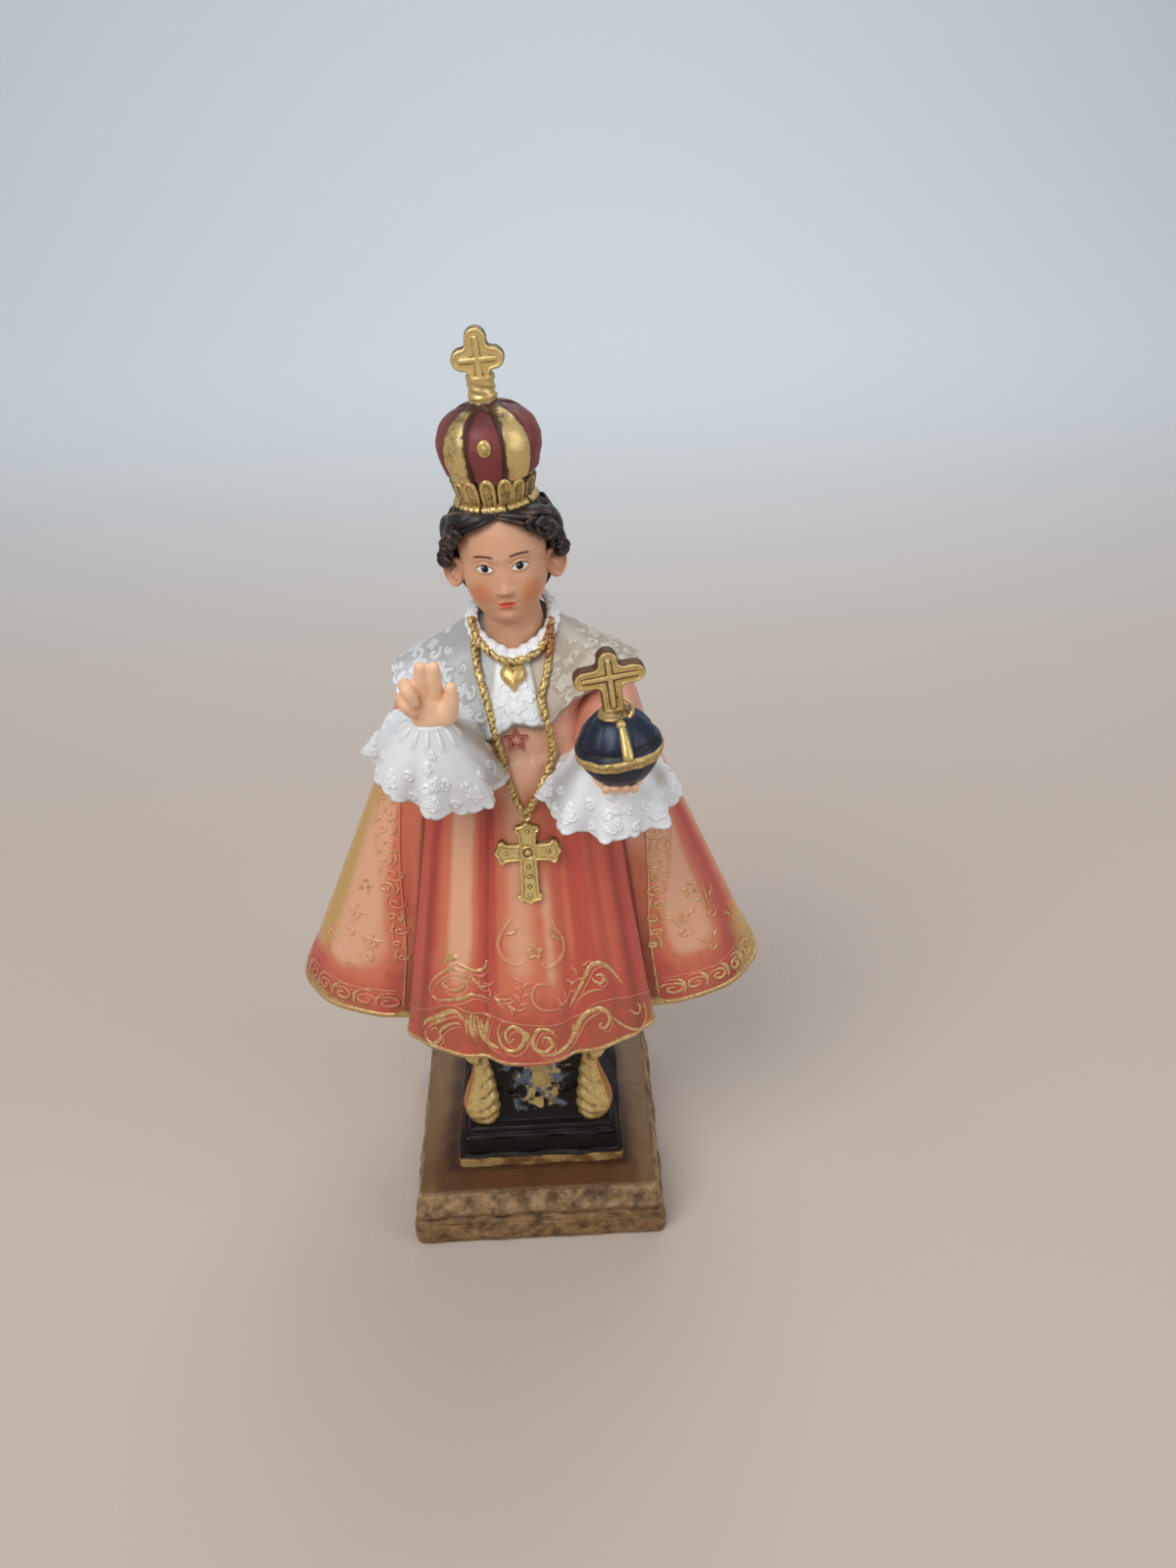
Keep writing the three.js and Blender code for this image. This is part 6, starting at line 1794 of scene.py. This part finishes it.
turns = full_turn(430)
robe_grid, robe_heights = robe_rows(turns[0])
piece("robe", [skin(robe_grid, **robe_paint(turns, robe_heights))], satin)
piece("gown_scrollwork", gown_scrolls(), gilded)
piece("mantle_scrollwork_right", mantle_scrolls(-1), gilded)
piece("mantle_scrollwork_left", mantle_scrolls(1), gilded)
piece("chest_star", [star(0.2, 70.4, 2.2, -0.6, ruddy=1.0, deep=0.5, dusty=0.0)], gilded)
piece("sleeves", [
    sleeve([(-10, 2, 72), (-14.6, -6, 69.5), (-13.6, -16, 68), (-12.4, -25, 77)], [7, 7.6, 7.4, 3.4]),
    sleeve([(13, 2, 73), (18.6, -7, 71), (19.6, -16, 70), (19.4, -24.5, 71)], [7, 7.6, 6.8, 3.8]),
], satin)

piece("collar", [lace_collar()], lace)
piece("neck_frill", [lace_frill()], lace)
piece("right_cuff", [lace_cuff(RIGHT_CUFF, 0.6)], lace)
piece("left_cuff", [lace_cuff(LEFT_CUFF, 2.1)], lace)

hand_piece("raised_hand", raised_hand(), lit_hand_flesh)
hand_piece("orb_hand", orb_hand(), lit_hand_flesh)

neck = tube(path([(0.4, 0.5, -6), (0.2, 0.2, 0), (0, 0, 6)], 24), [6.4, 5.5, 4.9], sides=48)
piece("head", on_head([head_skin(), neck, ear(-1), ear(1)]), flesh)
piece("hair", on_head([hair_cap(), *hair_locks()]), hair)
piece("crown", on_head([crown_body()]), crown_finish())
boss = [
    ball((-0.3, -9.1, 34.5), (1.2, 0.6, 1.5), 14, 24, crest=0.5),
    ball((-0.3, -9.6, 34.5), (0.5, 0.42, 0.75), 12, 18, crest=1),
]
top_cross = [form.moved(0, 0, 47.0) for form in plate_cross(4.5, 5.1, 3.7, -5.0, 0.8, 2.6)]
piece("crown_gilding", on_head([*crown_leaves(), *boss]), gold)
piece("crown_cross", on_head(top_cross), bright_gold)

piece("orb", in_hand([globe()]), orb_finish())
orb_cross = [form.moved(0, 0, 13.7) for form in plate_cross(6.0, 4.7, 3.5, -6.5, 0.9, 2.6)]
piece("orb_gilding", in_hand([*orb_bands(), *orb_cross]), gold)

chains = [chain(SHORT_CHAIN, 0.74, 1.5, 240, (0.9, 0.08)), chain(LONG_CHAIN, 0.7, 1.4, 600, (0.95, 0.06))]
piece("necklaces", chains, chain_gold)
piece("heart", heart(), chain_gold)
piece("pendant_cross", pendant(), bright_gold, crease=40)

piece("pedestal", [pedestal_body()], pedestal_finish(), origin=ON_PEDESTAL)
piece("brackets", [form for d in (45, 135, 225, 315) for form in bracket(d)], leaf_gold, origin=ON_PEDESTAL)
piece("base_block", [base_block()], base_finish(), node="base", origin=ON_FLOOR)


# Floor, light and camera


def backdrop():
    """A pale floor that curves up into a wall, in metres: flat, a quarter circle, then straight up."""
    front, start, bend, top, half = -1.6, 0.5, 0.3, 1.9, 1.8
    angle = np.radians(np.linspace(0, 90, 30))
    y = np.r_[front, start + bend * np.sin(angle), start + bend]
    z = np.r_[0.0, bend - bend * np.cos(angle), top]
    first = 2 * np.arange(len(y) - 1)
    mesh = bpy.data.meshes.new("backdrop")
    points = spots(np.array([[-half, half]]), y[:, None], z[:, None]).reshape(-1, 3)
    mesh.from_pydata(points.tolist(), [], np.stack([first, first + 1, first + 3, first + 2], 1).tolist())
    mesh.shade_smooth()
    f = Finish("backdrop_paper", Roughness=0.75, Specular_IOR_Level=0.2)
    back, rise = (f.node("SeparateXYZ", (), {0: f.place()}, output=axis) for axis in "YZ")
    colour = f.blend(rgb(196, 181, 168), rgb(226, 233, 236), (back + rise * 1.5).between(0.12, 0.75))
    mesh.materials.append(f.set(Base_Color=colour, Normal=f.bumped(f.drift(2.2, 4), 0.25, 0.35)))
    thing = bpy.data.objects.new("backdrop", mesh)
    bpy.context.collection.objects.link(thing)


def stand(name, data, place, turn):
    """Puts a lamp or camera, turned by a matrix, at its place in metres."""
    thing = bpy.data.objects.new(name, data)
    thing.matrix_world = Matrix.Translation(place) @ turn.to_4x4()
    bpy.context.collection.objects.link(thing)
    return thing


def soft_light(name, place, target, size, watts, colour):
    """A square soft box that faces its target: its own axes are across, up and back along the aim."""
    lamp = bpy.data.lights.new(name, "AREA")
    lamp.size, lamp.energy, lamp.color = size, watts, colour
    aim = unit(np.array(target, float) - np.array(place, float))
    across = unit(np.cross(aim, (0, 0, 1)))
    stand(name, lamp, place, Matrix(np.stack([across, np.cross(across, aim), -aim], 1).tolist()))


def photo_camera():
    """The camera that fits the photograph: pitched 33° down, rolled 2.09°, panned -1.06°, 27 mm on 36 mm."""
    lens = bpy.data.cameras.new("photo_camera")
    lens.sensor_fit, lens.sensor_width, lens.sensor_height, lens.lens = "VERTICAL", 36, 36, 27
    lens.clip_start, lens.clip_end = 0.01, 10
    turns = ((-1.06, "Z"), (90 - 33, "X"), (-2.09, "Z"))
    pan, pitch, roll = (Matrix.Rotation(math.radians(degrees), 3, axis) for degrees, axis in turns)
    bpy.context.scene.camera = stand("photo_camera", lens, (0.0116, -0.2044, 0.2414), pan @ pitch @ roll)


backdrop()
soft_light("key_light", (-0.35, -0.45, 0.75), (0, 0, 0.1), 0.55, 4.6, (1.0, 0.99, 0.97))
soft_light("fill_light", (0.6, -0.35, 0.45), (0, 0, 0.1), 0.5, 1.4, (0.93, 0.96, 1.0))
soft_light("back_light", (0.15, 0.45, 0.75), (0, 0, 0.12), 0.5, 2.0, (0.95, 0.97, 1.0))
world = bpy.data.worlds.new("studio")
world.use_nodes = True
sky = world.node_tree.nodes["Background"].inputs
sky["Color"].default_value, sky["Strength"].default_value = (0.86, 0.91, 1.0, 1.0), 0.36
bpy.context.scene.world = world
bpy.context.scene.view_settings.view_transform = "Standard"
photo_camera()
